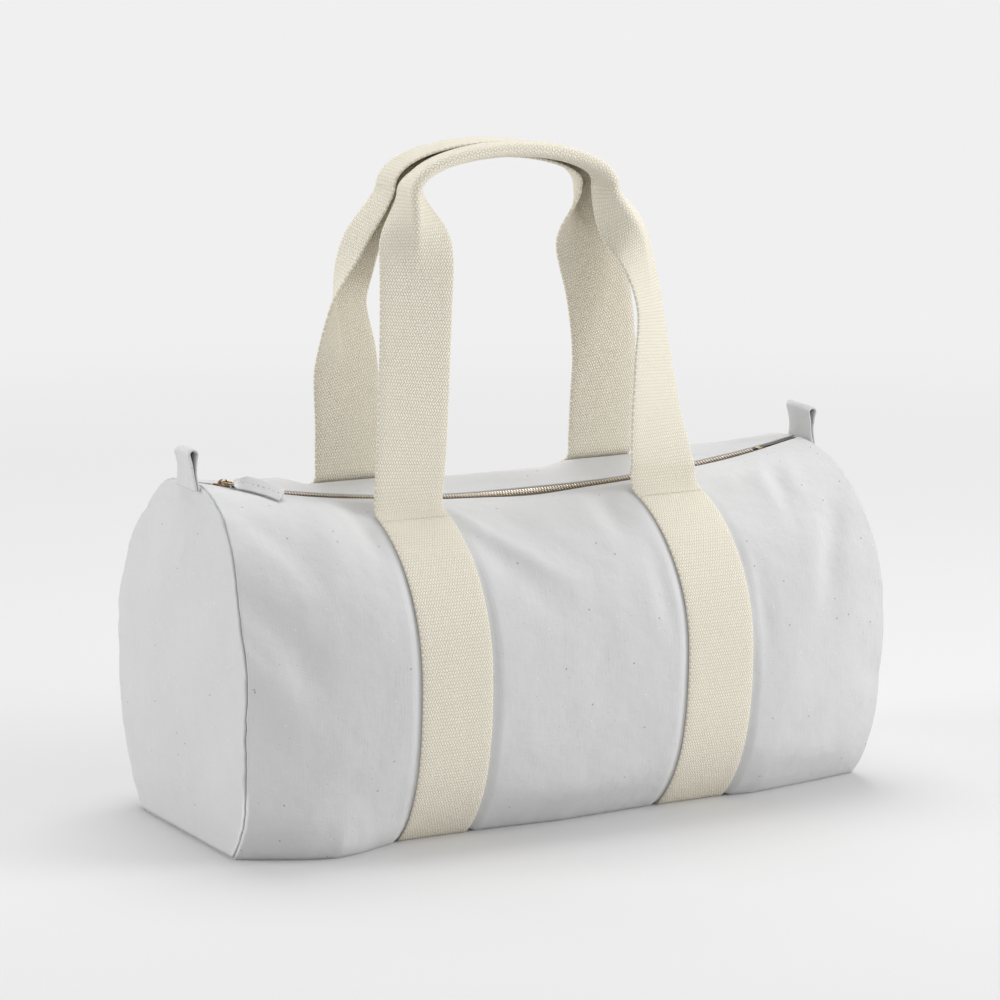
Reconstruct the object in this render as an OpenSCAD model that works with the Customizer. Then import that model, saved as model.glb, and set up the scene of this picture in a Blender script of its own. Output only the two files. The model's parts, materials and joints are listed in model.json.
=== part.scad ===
// Barrel bag of cotton canvas with a brass zip along the top.
// One long loop of webbing forms both straps round the body and both carrying handles.
// X runs along the barrel, the front is at -Y, and the bag stands on the plane z = 0.

/* [Body] */
// Length between the end seams at mid height
bag_len = 494; // [420:1:600]
// How far each end leans inwards at the top
top_lean = 8; // [0:0.5:20]
// How far each end leans inwards at the floor
base_lean = 2.5; // [0:0.5:12]
// Height of the two ends of the zip, on average
end_h = 234.5; // [190:0.5:280]
// How much lower the zip ends on the right than on the left
end_drop = 7; // [0:0.5:14]
// How far the zip sags at the middle of the bag
zip_sag = 24; // [10:1:35]
// Width across the end panels
end_w = 206; // [160:1:250]
// Width across the belly
belly_w = 239; // [190:1:290]
// Height of the widest place above the floor
widest_h = 112; // [85:1:140]
// How far the side curve would run on below the floor
base_sink = 22; // [10:1:35]
// Thickness of the canvas
canvas_t = 1.2; // [0.8:0.1:2]
// Depth of the valley that the zip lies in at mid length
valley_depth = 4; // [2:0.5:8]
// How much higher the back shoulder of the bag stands than the front one
back_rise = 8; // [0:0.5:12]
// How far an end panel bulges
end_bulge = 5; // [1:0.5:12]
// Depth of the bound seam allowance inside each end seam
seam_allowance = 9; // [6:0.5:14]
// Thickness of the bound seam allowance
seam_bind_t = 2.6; // [1.6:0.2:4]

/* [Webbing] */
// Width of the webbing
web_w = 50; // [36:1:60]
// Thickness of the webbing
web_t = 2; // [1.4:0.1:3]
// Distance between the two straps, centre to centre at mid height
strap_pitch = 204; // [150:1:250]
// Distance of the handle stitching from the zip
stitch_y = 43.6; // [34:0.2:56]
// Height of the handle arch above the zip at mid length
handle_h = 239.5; // [160:0.5:300]
// Distance between the two legs of a handle where the arch starts
shoulder_span = 152; // [120:1:180]
// How far the arch of the front handle leans to the left
front_lean = 5; // [0:0.5:12]
// How far the arch of the back handle leans to the left
back_lean = 8.5; // [0:0.5:12]
// Rise of an arch above the two places where it starts
arch_rise = 29; // [24:0.5:40]
// How much lower the front handle's arch starts on the right than on the left
front_tilt = 3; // [-6:0.5:16]
// How much lower the back handle's arch starts on the right than on the left
back_tilt = 7; // [-6:0.5:16]
// Radius of the bend where the webbing is folded lengthwise on the arch
fold_r = 3.2; // [2.6:0.1:5]
// How far each half of the webbing is turned back there, in degrees
fold_turn = 86; // [70:1:90]
// Play between the two handles where their arches meet
arch_gap = 2.4; // [1.2:0.2:6]

/* [Zip] */
// Distance from one tooth to the next on one tape
tooth_pitch = 2.2; // [2:0.1:3]
// Thickness of a tooth along the chain
tooth_t = 1; // [0.7:0.05:1.05]
// Height of a tooth
tooth_h = 2.2; // [1.8:0.1:2.6]
// Reach of a tooth from the middle of the chain to its outer end
tooth_reach = 2.9; // [2.5:0.1:3.4]
// How far a tooth reaches past the middle of the chain
tooth_mesh = 0.55; // [0.3:0.05:0.8]
// Width of each zip tape from the middle of the chain
tape_w = 14; // [11:0.5:18]
// Thickness of the zip tape
tape_t = 0.6; // [0.4:0.05:0.8]
// Distance of the closed slider from the end of the zip
slider_inset = 21; // [17:0.5:30]
// Distance of the bottom stop from the other end of the zip
stop_inset = 34; // [30:0.5:60]

/* [Slider and pull] */
// Length of the slider
slider_len = 11; // [9:0.5:13]
// Width of the slider at its shoulders
slider_w = 8.2; // [7.6:0.1:9.4]
// Thickness of each slider plate
plate_t = 0.9; // [0.7:0.1:1.2]
// Outer radius of the bail on the slider
bail_r = 3.7; // [3.3:0.1:4.4]
// Radius of the hole in the bail
bail_hole_r = 2; // [1.8:0.05:2.3]
// Width of the bail across the zip
bail_w = 1.8; // [1.4:0.1:2]
// Diameter of the ring's wire
ring_wire = 1.3; // [1:0.1:1.5]
// Length of the ring between its two bars, centre to centre
ring_len = 8; // [7:0.5:11]
// Length of the canvas pull beyond the ring
pull_len = 34; // [24:1:48]
// Width of the canvas pull
pull_w = 12.6; // [9:0.2:16]
// Thickness of the two layers of the canvas pull
pull_t = 2; // [1.4:0.1:2.4]
// How far the closed pull points to the front, in degrees
pull_yaw = 39; // [25:1:42]
// How far the closed pull droops, in degrees
pull_droop = 0; // [0:0.5:4]

/* [End tabs] */
// Width of an end tab
tab_w = 29.6; // [20:0.2:40]
// Height of an end tab from its foot in the seam
tab_h = 27; // [22:1:36]
// Thickness of the folded canvas of a tab
tab_t = 1.6; // [1.2:0.1:2]
// Widest gap inside the loop of a tab
tab_gap = 5.4; // [4.8:0.2:8]
// How far the foot of a tab lies below the top of the seam
tab_sink = 4; // [2:0.5:8]

/* [Hidden] */

// Colours
canvas_colour = [0.83, 0.835, 0.85];
web_colour = [0.90, 0.87, 0.78];
tape_colour = [0.80, 0.80, 0.80];
brass_colour = [0.55, 0.44, 0.28];

// Fits
seam_gap = 0.1;      // between canvas pieces that are sewn together
lay_gap = 0.2;       // between the webbing and the canvas below it
run_gap = 0.3;       // between pieces that move past each other
tooth_play = 0.08;   // between a tooth and the edge of its tape

// Fineness of the soft shells
side_steps = 16;     // from the zip to the edge of the flat base
base_steps = 4;      // from the edge of the flat base to its middle
panel_cols = 12;     // across an end panel
leg_steps = 15;      // along one leg of a handle
arch_steps = 22;     // along the arch of a handle

// Exponents of the body's upper and lower side curves, and how soon the belly tapers
upper_exp = 2.1;
lower_exp = 2.6;
taper_exp = 4;

// The zip is an arc in the plane y = 0, so the slider turns about an axis far above the bag
arc_half = bag_len / 2 - top_lean - canvas_t - seam_gap;
arc_r = (arc_half * arc_half + zip_sag * zip_sag) / (2 * zip_sag);
arc_z = end_h - zip_sag + arc_r;
arc_x = end_drop / 2 / arc_half * arc_r;
slider_a = arc_angle(slider_inset - arc_half);
stop_a = arc_angle(arc_half - stop_inset);

// Edges of the canvas beside the chain, just clear of the slider
lip_y = slider_w / 2 + run_gap;
lip_h = tape_t / 2 + seam_gap + canvas_t;

// Webbing round the body
strap_u = strap_pitch / bag_len;
strap_mid = strap_pitch / 2;
groove_depth = web_t + lay_gap;
groove_ramp = web_w / 5;
groove_play = web_w / 25;
strap_edge = web_w / 2 + groove_play;
stitch_tuck = web_t / 2;
groove_start_share = 0.13;
groove_fade_share = 0.33;

// Handles: height of the hinge line and the path of a leg, as shares of its height and lean
hinge_y = stitch_y;
hinge_r = web_t / 2;
arch_y = (fold_depth(fold_turn) + web_t + arch_gap) / 2;
arch_z = end_h - zip_sag + handle_h;
leg_height_shares = [0, 0.2, 0.4, 0.62, 0.82, 1];
leg_back_shares = [0, 0.18, 0.42, 0.66, 0.86, 1];
// For each handle, its left leg and then its right leg
front_lean_shares = [[0, 0.28, 0.58, 0.85, 1.05, 1], [0, 0.08, 0.06, 0.04, 0.3, 1]];
back_lean_shares = [[0, -0.2, -0.6, -1, -0.4, 1], [0, 0.06, 0.15, 0.44, 0.83, 1]];
front_twist_shares = [[0, 0.03, 0.05, 0.08, 0.15, 0.2], [0, 0.18, 0.33, 0.45, 0.33, -0.08]];
back_twist_shares = [[0, 0.02, 0.08, 0.36, 0.35, 0.1], [0, 0, 0, 0, 0.02, 0.05]];
front_fold_shares = [[0, 0, 0, 0, 0.12, 0.88], [0, 0, 0, 0.04, 0.3, 0.9]];
back_fold_shares = [[0, 0, 0.02, 0.28, 0.85, 1], [0, 0, 0, 0, 0.04, 0.88]];
arch_exp = 0.9;
// Places across the webbing, closer together at the fold
across_shares = [1, 0.6, 0.2, 0.1, 0, -0.1, -0.2, -0.6, -1];
// How much of the arch a fold takes to close
fold_close_share = 0.15;
// The rounded lower end of a leg: depth below the hinge line and thickness
end_depth_shares = [0.95, 0.7];
end_thin_shares = [0.3, 0.7];

// Teeth and tapes: the edge of a tape and the two legs of a tooth that grip it
tape_edge_share = 0.45;
tape_edge = tooth_reach * tape_edge_share;
tape_drop = canvas_t;
tooth_leg_share = 0.6;
stop_len_share = 1.5;
tooth_leg_z = tooth_h / 2 - tooth_t * tooth_leg_share;

// Slider and pull
plate_z = tooth_h / 2 + run_gap;
flange_z = tape_t / 2 + run_gap;
flange_y = tooth_reach + run_gap;
post_start_share = 0.05;
post_share = 0.32;
post_widest_share = 0.33;
bail_sink_share = 0.25;
bail_x_share = 0.07;
bail_z = plate_z + plate_t * (1 - bail_sink_share) + bail_hole_r;
bail_x = slider_len * bail_x_share;
ring_r = ring_wire / 2;
ring_bend = ring_wire;
ring_inner_w = pull_w + 2 * run_gap + ring_wire / 2;
pull_eye_r = ring_r + run_gap;
cut = canvas_t;      // overrun of every cut

left_sign = -1;
right_sign = 1;
front_sign = -1;
back_sign = 1;

// Helpers
function mix(a, b, t) = a + (b - a) * t;
function clamp01(t) = min(1, max(0, t));
function ease(t) = let (c = clamp01(t)) c * c * (3 - 2 * c);
function power(v, e) = v <= 0 ? 0 : pow(v, e);
function unit(v) = v / norm(v);
function last(list) = len(list) - 1;

// Value of a table of shares at t from 0 to 1, on a smooth curve through its entries
function along(table, keys, t, i = 0) =
    i >= last(keys) - 1 || t <= keys[i + 1]
    ? let (
        a = table[max(0, i - 1)],
        b = table[i],
        c = table[i + 1],
        d = table[min(last(table), i + 2)],
        s = clamp01((t - keys[i]) / (keys[i + 1] - keys[i]))
    ) 0.5 * (2 * b + (c - a) * s + (2 * a - 5 * b + 4 * c - d) * s * s
        + (3 * b - a - 3 * c + d) * s * s * s)
    : along(table, keys, t, i + 1);

// Depth of webbing folded lengthwise, each half turned back by the angle a
function fold_bend(a) = fold_r * a * PI / 180;
function fold_depth(a) = fold_r * (1 - cos(a)) + (web_w / 2 - fold_bend(a)) * sin(a);

// A point of the folded section at s across the webbing: [sideways, backwards]
function fold_point(s, a, off) =
    let (
        b = min(abs(s) / fold_r * 180 / PI, a),
        run = max(0, abs(s) - fold_bend(a))
    ) [sign(s) * ((fold_r + off) * sin(b) + run * cos(a)),
        fold_r - (fold_r + off) * cos(b) + run * sin(a) - fold_depth(a) / 2];

// Shape of the body at a distance x along the barrel
function zip_z(x) = arc_z - sqrt(arc_r * arc_r - power(abs(x - arc_x), 2));
function arc_angle(x) = asin((x - arc_x) / arc_r);
function half_w(x) =
    mix(belly_w, end_w, power(abs(2 * x) / bag_len, taper_exp)) / 2;
function valley(x) = valley_depth * (1 - power(clamp01(abs(x) / arc_half), 2));
function top_z(x) = zip_z(x) + lip_h + valley(x);
// Under each strap the shoulders of the bag are level, so that the handles hinge on one line
strap_top_z = (top_z(strap_mid) + top_z(-strap_mid)) / 2;
function shoulder_z(x, y) =
    let (
        off = (abs(abs(x) - strap_mid) - strap_edge) / strap_edge,
        out = (y - tape_w) / (stitch_y - 2 * stitch_tuck - tape_w)
    ) mix(top_z(x), strap_top_z, (1 - ease(off)) * ease(out));
function lip_angle(x) = acos(pow(lip_y / half_w(x), upper_exp / 2));
// The back shoulder stands higher than the front one, and less so towards the ends
rise_end_share = 0.3;
function rise(p) =
    let (
        out = (p[1] - tape_w) / (stitch_y - 2 * stitch_tuck - tape_w),
        up = (p[2] - widest_h) / (strap_top_z - 2 * canvas_t - widest_h),
        along_x = (abs(p[0]) - strap_mid - strap_edge) / (arc_half - strap_mid - strap_edge)
    ) back_rise * ease(out) * ease(up) * mix(1, rise_end_share, ease(along_x));
function placed(p, s) =
    let (q = [p[0], p[1] * s, p[2]]) [q[0], q[1], q[2] + rise(q)];
base_angle = asin(pow(widest_h / (widest_h + base_sink), lower_exp / 2));

// Outline of the body from the edge at the zip, k = 0, to the middle of the base
function side_point(x, a) =
    a >= 0
    ? let (
        y = half_w(x) * power(cos(a), 2 / upper_exp),
        z = widest_h + (shoulder_z(x, y) - widest_h) * power(sin(a), 2 / upper_exp)
    ) [y, z - valley(x) * power(1 - power(clamp01(y / stitch_y), 2), 2)]
    : [half_w(x) * power(cos(a), 2 / lower_exp),
        widest_h - (widest_h + base_sink) * power(sin(-a), 2 / lower_exp)];
function outline(x, k) =
    k <= side_steps
    ? side_point(x, mix(lip_angle(x), -base_angle, k / side_steps))
    : [mix(side_point(x, -base_angle)[0], 0, (k - side_steps) / base_steps), 0];
function outward(x, k) =
    let (
        a = outline(x, max(0, k - 0.5)),
        b = outline(x, min(side_steps + base_steps, k + 0.5)),
        d = unit(b - a)
    ) k >= side_steps + 1 ? [0, -1] : [-d[1], d[0]];

// Distance of the end seam from the middle of the bag at height z
function seam_x(z) =
    let (s = (z - widest_h) / (z > widest_h ? end_h - widest_h : widest_h))
    bag_len / 2 - (z > widest_h ? top_lean : base_lean) * s * s;

// How deep the canvas is drawn in under a strap
function groove(x, z, k) =
    let (off = abs(abs(x) - strap_u * seam_x(z)) - web_w / 2 - groove_play)
    groove_depth * (1 - ease(off / groove_ramp))
        * ease((k / side_steps - groove_start_share) / groove_fade_share);

// A point of the body, off outside its canvas, for u from -1 to 1 along the barrel
function body_x(u, k) = u * seam_x(outline(u * bag_len / 2, k)[1]);
function skin(x, k, off) =
    let (
        p = outline(x, k),
        d = outward(x, k) * (off - groove(x, p[1], k))
    ) [x, p[0] + d[0], p[1] + d[1]];

// Closed sheet between two grids of points, a outside and b inside
module thick_sheet(a, b, loop = false) {
    rows = len(a);
    cols = len(a[0]);
    n = rows * cols;
    ends = loop ? rows : rows - 1;
    points = concat([for (r = a) each r], [for (r = b) each r]);
    at = function (i, j) (i % rows) * cols + j;
    skin_faces = [for (i = [0 : ends - 1], j = [0 : cols - 2], f = [
        [at(i, j), at(i, j + 1), at(i + 1, j + 1)],
        [at(i, j), at(i + 1, j + 1), at(i + 1, j)],
        [n + at(i, j), n + at(i + 1, j + 1), n + at(i, j + 1)],
        [n + at(i, j), n + at(i + 1, j), n + at(i + 1, j + 1)]
    ]) f];
    side_faces = [for (i = [0 : ends - 1], f = [
        [at(i, 0), at(i + 1, 0), n + at(i + 1, 0)],
        [at(i, 0), n + at(i + 1, 0), n + at(i, 0)],
        [at(i, cols - 1), n + at(i + 1, cols - 1), at(i + 1, cols - 1)],
        [at(i, cols - 1), n + at(i, cols - 1), n + at(i + 1, cols - 1)]
    ]) f];
    end_faces = loop ? [] : [for (j = [0 : cols - 2], f = [
        [at(0, j), n + at(0, j + 1), at(0, j + 1)],
        [at(0, j), n + at(0, j), n + at(0, j + 1)],
        [at(rows - 1, j), at(rows - 1, j + 1), n + at(rows - 1, j + 1)],
        [at(rows - 1, j), n + at(rows - 1, j + 1), n + at(rows - 1, j)]
    ]) f];
    polyhedron(points, concat(skin_faces, side_faces, end_faces));
}

half_steps = side_steps + base_steps;
// Steps round the body from the back edge of the zip, under the base, to the front edge
round_ks = [for (i = [0 : 2 * half_steps]) i <= half_steps ? i : 2 * half_steps - i];
round_ys = [for (i = [0 : 2 * half_steps]) i <= half_steps ? back_sign : front_sign];

station_xs = [0, strap_mid - strap_edge - 2 * groove_ramp, strap_mid - strap_edge - groove_ramp,
    strap_mid - strap_edge - groove_ramp / 2, strap_mid - strap_edge, strap_mid,
    strap_mid + strap_edge, strap_mid + strap_edge + groove_ramp / 2,
    strap_mid + strap_edge + groove_ramp];
station_far = (strap_mid + strap_edge + groove_ramp) * 2 / bag_len;
half_us = concat([for (x = station_xs) 2 * x / bag_len],
    [for (i = [1 : 5]) mix(station_far, 1, i / 5)]);
station_us = concat([for (i = [len(half_us) - 1 : -1 : 1]) -half_us[i]], half_us);

module body_panel() {
    // The panel stops short of the end panels, which cover its ends
    grid = function (off) [for (u = station_us) [for (i = [0 : 2 * half_steps])
        let (
            k = round_ks[i],
            x = body_x(u, k) - u * (canvas_t + seam_gap)
        ) placed(skin(x, k, off), round_ys[i])]];
    color(canvas_colour)
        thick_sheet(grid(0), grid(-canvas_t));
}

// How far an end panel bulges at a share across and a share of its height
function end_puff(across, high) = end_bulge * (1 - across * across) * 4 * high * (1 - high);

// An end panel: rows down the side outline, columns from the front seam to the back seam
module end_panel(side) {
    grid = function (off) [for (k = [0 : side_steps]) [for (j = [0 : panel_cols])
        let (
            c = 1 - 2 * j / panel_cols,
            p = skin(body_x(side, k), k, 0),
            puff = end_puff(c, p[2] / top_z(p[0]))
        ) placed([p[0] + side * (puff + off), p[1] * c * -side, p[2]], 1)]];
    color(canvas_colour)
        thick_sheet(grid(0), grid(-canvas_t));
}
module left_end_panel() end_panel(left_sign);
module right_end_panel() end_panel(right_sign);

// The bound seam allowance stands inwards behind the end seam, all the way round
module seam_binding(side) {
    ring_in = 2 * canvas_t + 2 * tape_t;
    grid = function (off) [for (i = [0 : 2 * half_steps])
        let (
            k = round_ks[i],
            x = body_x(side, k) - side * (canvas_t + seam_gap + off),
            a = skin(x, k, -ring_in),
            b = skin(x, k, -ring_in - seam_allowance)
        ) [placed(a, round_ys[i] * -side), placed(b, round_ys[i] * -side)]];
    color(tape_colour)
        thick_sheet(grid(0), grid(seam_bind_t), loop = true);
}
module left_seam_binding() seam_binding(left_sign);
module right_seam_binding() seam_binding(right_sign);

// Steps along a strap: from the handle stitching at the back, under the base, to the front
function stitch_k(x, low = 0, high = side_steps, n = 20) =
    n == 0 ? (low + high) / 2
    : let (k = (low + high) / 2) outline(x, k)[0] < stitch_y - stitch_tuck
        ? stitch_k(x, k, high, n - 1)
        : stitch_k(x, low, k, n - 1);

function strap_x(side, k) = side * strap_u * seam_x(outline(side * strap_mid, k)[1]);

module strap(side) {
    start = floor(hinge_k) + 1;
    half_ks = concat([hinge_k], [for (k = [start : half_steps]) k]);
    ks = concat(half_ks, [for (i = [len(half_ks) - 2 : -1 : 0]) half_ks[i]]);
    grid = function (off) [for (i = [0 : len(ks) - 1])
        let (
            k = ks[i],
            s = i < len(half_ks) ? back_sign : front_sign
        ) [for (e = [-1, 0, 1])
            placed(skin(strap_x(side, k) + e * web_w / 2, k, off), s)]];
    color(web_colour)
        thick_sheet(grid(lay_gap), grid(lay_gap + web_t));
}
module left_strap() strap(left_sign);
module right_strap() strap(right_sign);

// Handle: the hinge line lies on top of the end of each strap
hinge_k = stitch_k(strap_mid);
hinge_z = skin(strap_mid, hinge_k, 0)[2] + lay_gap + web_t + run_gap + hinge_r;
leg_ts = [for (i = [0 : leg_steps]) i / leg_steps];
down_ts = [for (i = [leg_steps : -1 : 0]) leg_ts[i]];
arch_ts = [for (i = [1 : arch_steps - 1]) i / arch_steps];

// Middle line of a front handle's leg, from the hinge line up to the arch, and of its arch
function arch_start_z(side, tilt) = arch_z - arch_rise - side * tilt / 2;
function leg_point(side, lean, tilt, shares, foot_z, t) =
    [mix(strap_x(side, hinge_k), side * shoulder_span / 2 - lean,
        along(shares, leg_height_shares, t)),
        -mix(hinge_y, arch_y, along(leg_back_shares, leg_height_shares, t)),
        mix(foot_z, arch_start_z(side, tilt), t)];
function arch_point(lean, tilt, t) =
    [-shoulder_span / 2 * cos(180 * t) - lean, -arch_y,
        mix(arch_start_z(left_sign, tilt), arch_start_z(right_sign, tilt), t)
        + arch_rise * power(sin(180 * t), arch_exp)];
function handle_path(lean, tilt, shares, foot_z) = concat(
    [for (t = leg_ts) leg_point(left_sign, lean, tilt, shares[0], foot_z, t)],
    [for (t = arch_ts) arch_point(lean, tilt, t)],
    [for (t = down_ts) leg_point(right_sign, lean, tilt, shares[1], foot_z, t)]);

// Values along a handle: each leg follows its own shares, and on the arch they go on to middle
function leg_values(shares, ts) = [for (t = ts) along(shares, leg_height_shares, t)];
function twist_values(shares) =
    let (a = shares[0][last(shares[0])], b = shares[1][last(shares[1])])
    concat(leg_values(shares[0], leg_ts), [for (t = arch_ts) mix(a, b, t)],
        leg_values(shares[1], down_ts));
function fold_values(shares) =
    let (a = shares[0][last(shares[0])], b = shares[1][last(shares[1])])
    concat(leg_values(shares[0], leg_ts),
        [for (t = arch_ts) 1 - (t < 0.5 ? 1 - a : 1 - b)
            * (1 - ease(min(t, 1 - t) / fold_close_share))],
        leg_values(shares[1], down_ts));

// A handle: strips of webbing across the path, flat at the feet and folded on the arch
module handle(lean, tilt, lean_shares, twist_shares, fold_shares, foot_z, mirrored) {
    path = handle_path(lean, tilt, lean_shares, foot_z);
    turns = 90 * twist_values(twist_shares);
    folds = fold_turn * fold_values(fold_shares);
    end = last(path);
    strip = function (i, off, drop)
        let (
            up = unit(path[min(end, i + 1)] - path[max(0, i - 1)]),
            level = i == 0 ? [1, 0, 0] : i == end ? [-1, 0, 0] : unit(cross([0, 1, 0], up)),
            across = level * cos(turns[i]) - unit(cross(up, level)) * sin(turns[i]),
            face = cross(across, up)
        ) [for (s = across_shares)
            let (q = fold_point(s * web_w / 2, max(0, folds[i]), off))
                path[i] - [0, 0, drop] + across * q[0] - face * q[1]];
    strips = function (off) concat(
        [for (n = [0, 1]) strip(0, off * end_thin_shares[n], hinge_r * end_depth_shares[n])],
        [for (i = [0 : end]) strip(i, off, 0)],
        [for (n = [1, 0]) strip(end, off * end_thin_shares[n], hinge_r * end_depth_shares[n])]);
    color(web_colour)
        mirror([0, mirrored ? 1 : 0, 0])
            thick_sheet(strips(web_t / 2), strips(-web_t / 2));
}
module front_handle()
    handle(front_lean, front_tilt, front_lean_shares, front_twist_shares, front_fold_shares,
        hinge_z, false);
module back_handle()
    handle(back_lean, back_tilt, back_lean_shares, back_twist_shares, back_fold_shares,
        hinge_z + back_rise, true);

// Places its children on the zip's arc, at an angle from the middle of the bag
module on_arc(a) {
    translate([arc_x, 0, arc_z])
        rotate([0, -a, 0])
            translate([0, 0, -arc_r])
                children();
}

// A tape has a bead along its edge that the teeth grip, and its outer part hangs a little
module zip_tape(side) {
    bead_y = tape_edge + (tooth_reach - tooth_mesh) / 2;
    bead_z = tooth_leg_z - tooth_play;
    half_t = tape_t / 2;
    start_a = arc_angle(tape_t - arc_half);
    end_a = arc_angle(arc_half - tape_t);
    section = [[tape_edge, -bead_z], [tape_edge, bead_z], [bead_y, bead_z], [bead_y, half_t],
        [lip_y, half_t], [tape_w, half_t - tape_drop], [tape_w, -half_t - tape_drop],
        [lip_y, -half_t], [bead_y, -half_t], [bead_y, -bead_z]];
    color(tape_colour)
        translate([arc_x, 0, arc_z])
            rotate([90, 0, 0])
                rotate([0, 0, start_a - 90])
                    rotate_extrude(angle = end_a - start_a, $fn = 400)
                        polygon([for (p = section) [arc_r - p[1], -side * p[0]]]);
}
module front_zip_tape() zip_tape(front_sign);
module back_zip_tape() zip_tape(back_sign);

// A tooth grips the edge of its tape between two legs and meshes with its head
module tooth(side, length, head) {
    root = tape_edge - tooth_play;
    high = tooth_h / 2;
    rotate([90, 0, 90])
        linear_extrude(length, center = true)
            polygon([for (p = [[-head, -high], [tooth_reach, -high],
                [tooth_reach, -tooth_leg_z], [root, -tooth_leg_z], [root, tooth_leg_z],
                [tooth_reach, tooth_leg_z], [tooth_reach, high], [-head, high]])
                [side * p[0], p[1]]]);
}

pitch_a = tooth_pitch / arc_r * 180 / PI;
post_end_share = 0.5 - post_start_share - post_share;
first_a = slider_a - slider_len * post_end_share / arc_r * 180 / PI;
tooth_count = floor((stop_a - first_a) / pitch_a) - 1;

module zip_teeth(side, phase) {
    color(brass_colour)
        for (i = [0 : tooth_count - 1])
            on_arc(first_a + (i + phase) * pitch_a)
                tooth(side, tooth_t, tooth_mesh);
}
module front_zip_teeth() zip_teeth(front_sign, 0.5);
module back_zip_teeth() zip_teeth(back_sign, 1);

// A clip on the end of each tape stops the slider when the zip is closed
module zip_top_stops() {
    clip_len = tooth_pitch;
    clip_a = slider_a - (slider_len / 2 + run_gap + clip_len / 2) / arc_r * 180 / PI;
    color(brass_colour)
        for (side = [front_sign, back_sign])
            on_arc(clip_a)
                tooth(side, clip_len, -tooth_mesh);
}

// A staple across both tapes stops the slider when the zip is open
module zip_bottom_stop() {
    web_y = tape_edge - tooth_play;
    wing = tooth_reach + tooth_mesh;
    high = tooth_h / 2;
    leg_z = tooth_leg_z;
    stop_len = tooth_pitch * stop_len_share;
    color(brass_colour)
        on_arc(stop_a + (stop_len / 2 + run_gap) / arc_r * 180 / PI)
            rotate([90, 0, 90])
                linear_extrude(stop_len, center = true)
                    polygon([[-wing, -high], [wing, -high], [wing, -leg_z], [web_y, -leg_z],
                        [web_y, leg_z], [wing, leg_z], [wing, high], [-wing, high],
                        [-wing, leg_z], [-web_y, leg_z], [-web_y, -leg_z], [-wing, -leg_z]]);
}

// Outline of a slider plate, its divided nose towards -X
nose_shares = [[-1, 0.34], [-0.84, 0.82], [-0.6, 1], [0.1, 1], [0.8, 0.93], [1, 0.8]];
module slider_outline() {
    half = [for (p = nose_shares) [p[0] * slider_len / 2, p[1] * slider_w / 2]];
    polygon(concat(half, [for (i = [len(half) - 1 : -1 : 0]) [half[i][0], -half[i][1]]]));
}

module slider_body() {
    post_l = slider_len * post_share;
    post_w = 2 * (tape_edge - run_gap);
    color(brass_colour)
        on_arc(slider_a) {
            for (up = [0, 1])
                mirror([0, 0, up]) {
                    translate([0, 0, plate_z])
                        linear_extrude(plate_t)
                            slider_outline();
                    // Flanges that hold the chain between the plates
                    translate([0, 0, flange_z])
                        linear_extrude(plate_z - flange_z)
                            difference() {
                                slider_outline();
                                translate([-slider_len / 2 - cut, -flange_y])
                                    square([slider_len + 2 * cut, 2 * flange_y]);
                            }
                }
            // Post that divides the two rows of teeth
            translate([slider_len * (post_start_share - 0.5), 0, -plate_z])
                linear_extrude(2 * plate_z)
                    polygon([[0, 0], [post_l * post_widest_share, post_w / 2], [post_l, 0],
                        [post_l * post_widest_share, -post_w / 2]]);
            // Bail that the ring hangs in
            translate([bail_x, 0, plate_z + plate_t])
                rotate([90, 0, 0])
                    linear_extrude(bail_w, center = true)
                        difference() {
                            intersection() {
                                circle(bail_r, $fn = 48);
                                translate([-bail_r, 0])
                                    square([2 * bail_r, bail_r]);
                            }
                            translate([0, bail_z - plate_z - plate_t])
                                circle(bail_hole_r, $fn = 48);
                        }
        }
}

// Places its children in the frame of the ring, with its near bar in the bail
module at_ring() {
    on_arc(slider_a)
        translate([bail_x, 0, bail_z])
            rotate([0, 0, -pull_yaw])
                rotate([0, pull_droop, 0])
                    children();
}

module pull_ring() {
    bar = ring_inner_w + 2 * ring_r;
    color(brass_colour)
        at_ring() {
            for (x = [0, ring_len])
                translate([x, 0, 0])
                    rotate([90, 0, 0])
                        cylinder(bar - 2 * ring_bend, r = ring_r, center = true, $fn = 32);
            for (s = [front_sign, back_sign])
                translate([ring_len / 2, s * bar / 2, 0])
                    rotate([0, 90, 0])
                        cylinder(ring_len - 2 * ring_bend, r = ring_r, center = true, $fn = 32);
            for (far = [0, 1], s = [0, 1])
                translate([ring_len / 2, 0, 0])
                    mirror([far, 0, 0])
                        mirror([0, s, 0])
                            translate([ring_len / 2 - ring_bend, bar / 2 - ring_bend, 0])
                                rotate_extrude(angle = 90, $fn = 32)
                                    translate([ring_bend, 0])
                                        circle(ring_r, $fn = 32);
        }
}

module canvas_pull() {
    eye_out = pull_eye_r + pull_t / 2;
    color(canvas_colour)
        at_ring()
            translate([ring_len, 0, 0])
                rotate([90, 0, 0])
                    linear_extrude(pull_w, center = true)
                        difference() {
                            union() {
                                circle(eye_out, $fn = 48);
                                translate([0, -pull_t / 2])
                                    square([pull_len, pull_t]);
                            }
                            circle(pull_eye_r, $fn = 48);
                        }
}

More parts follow.
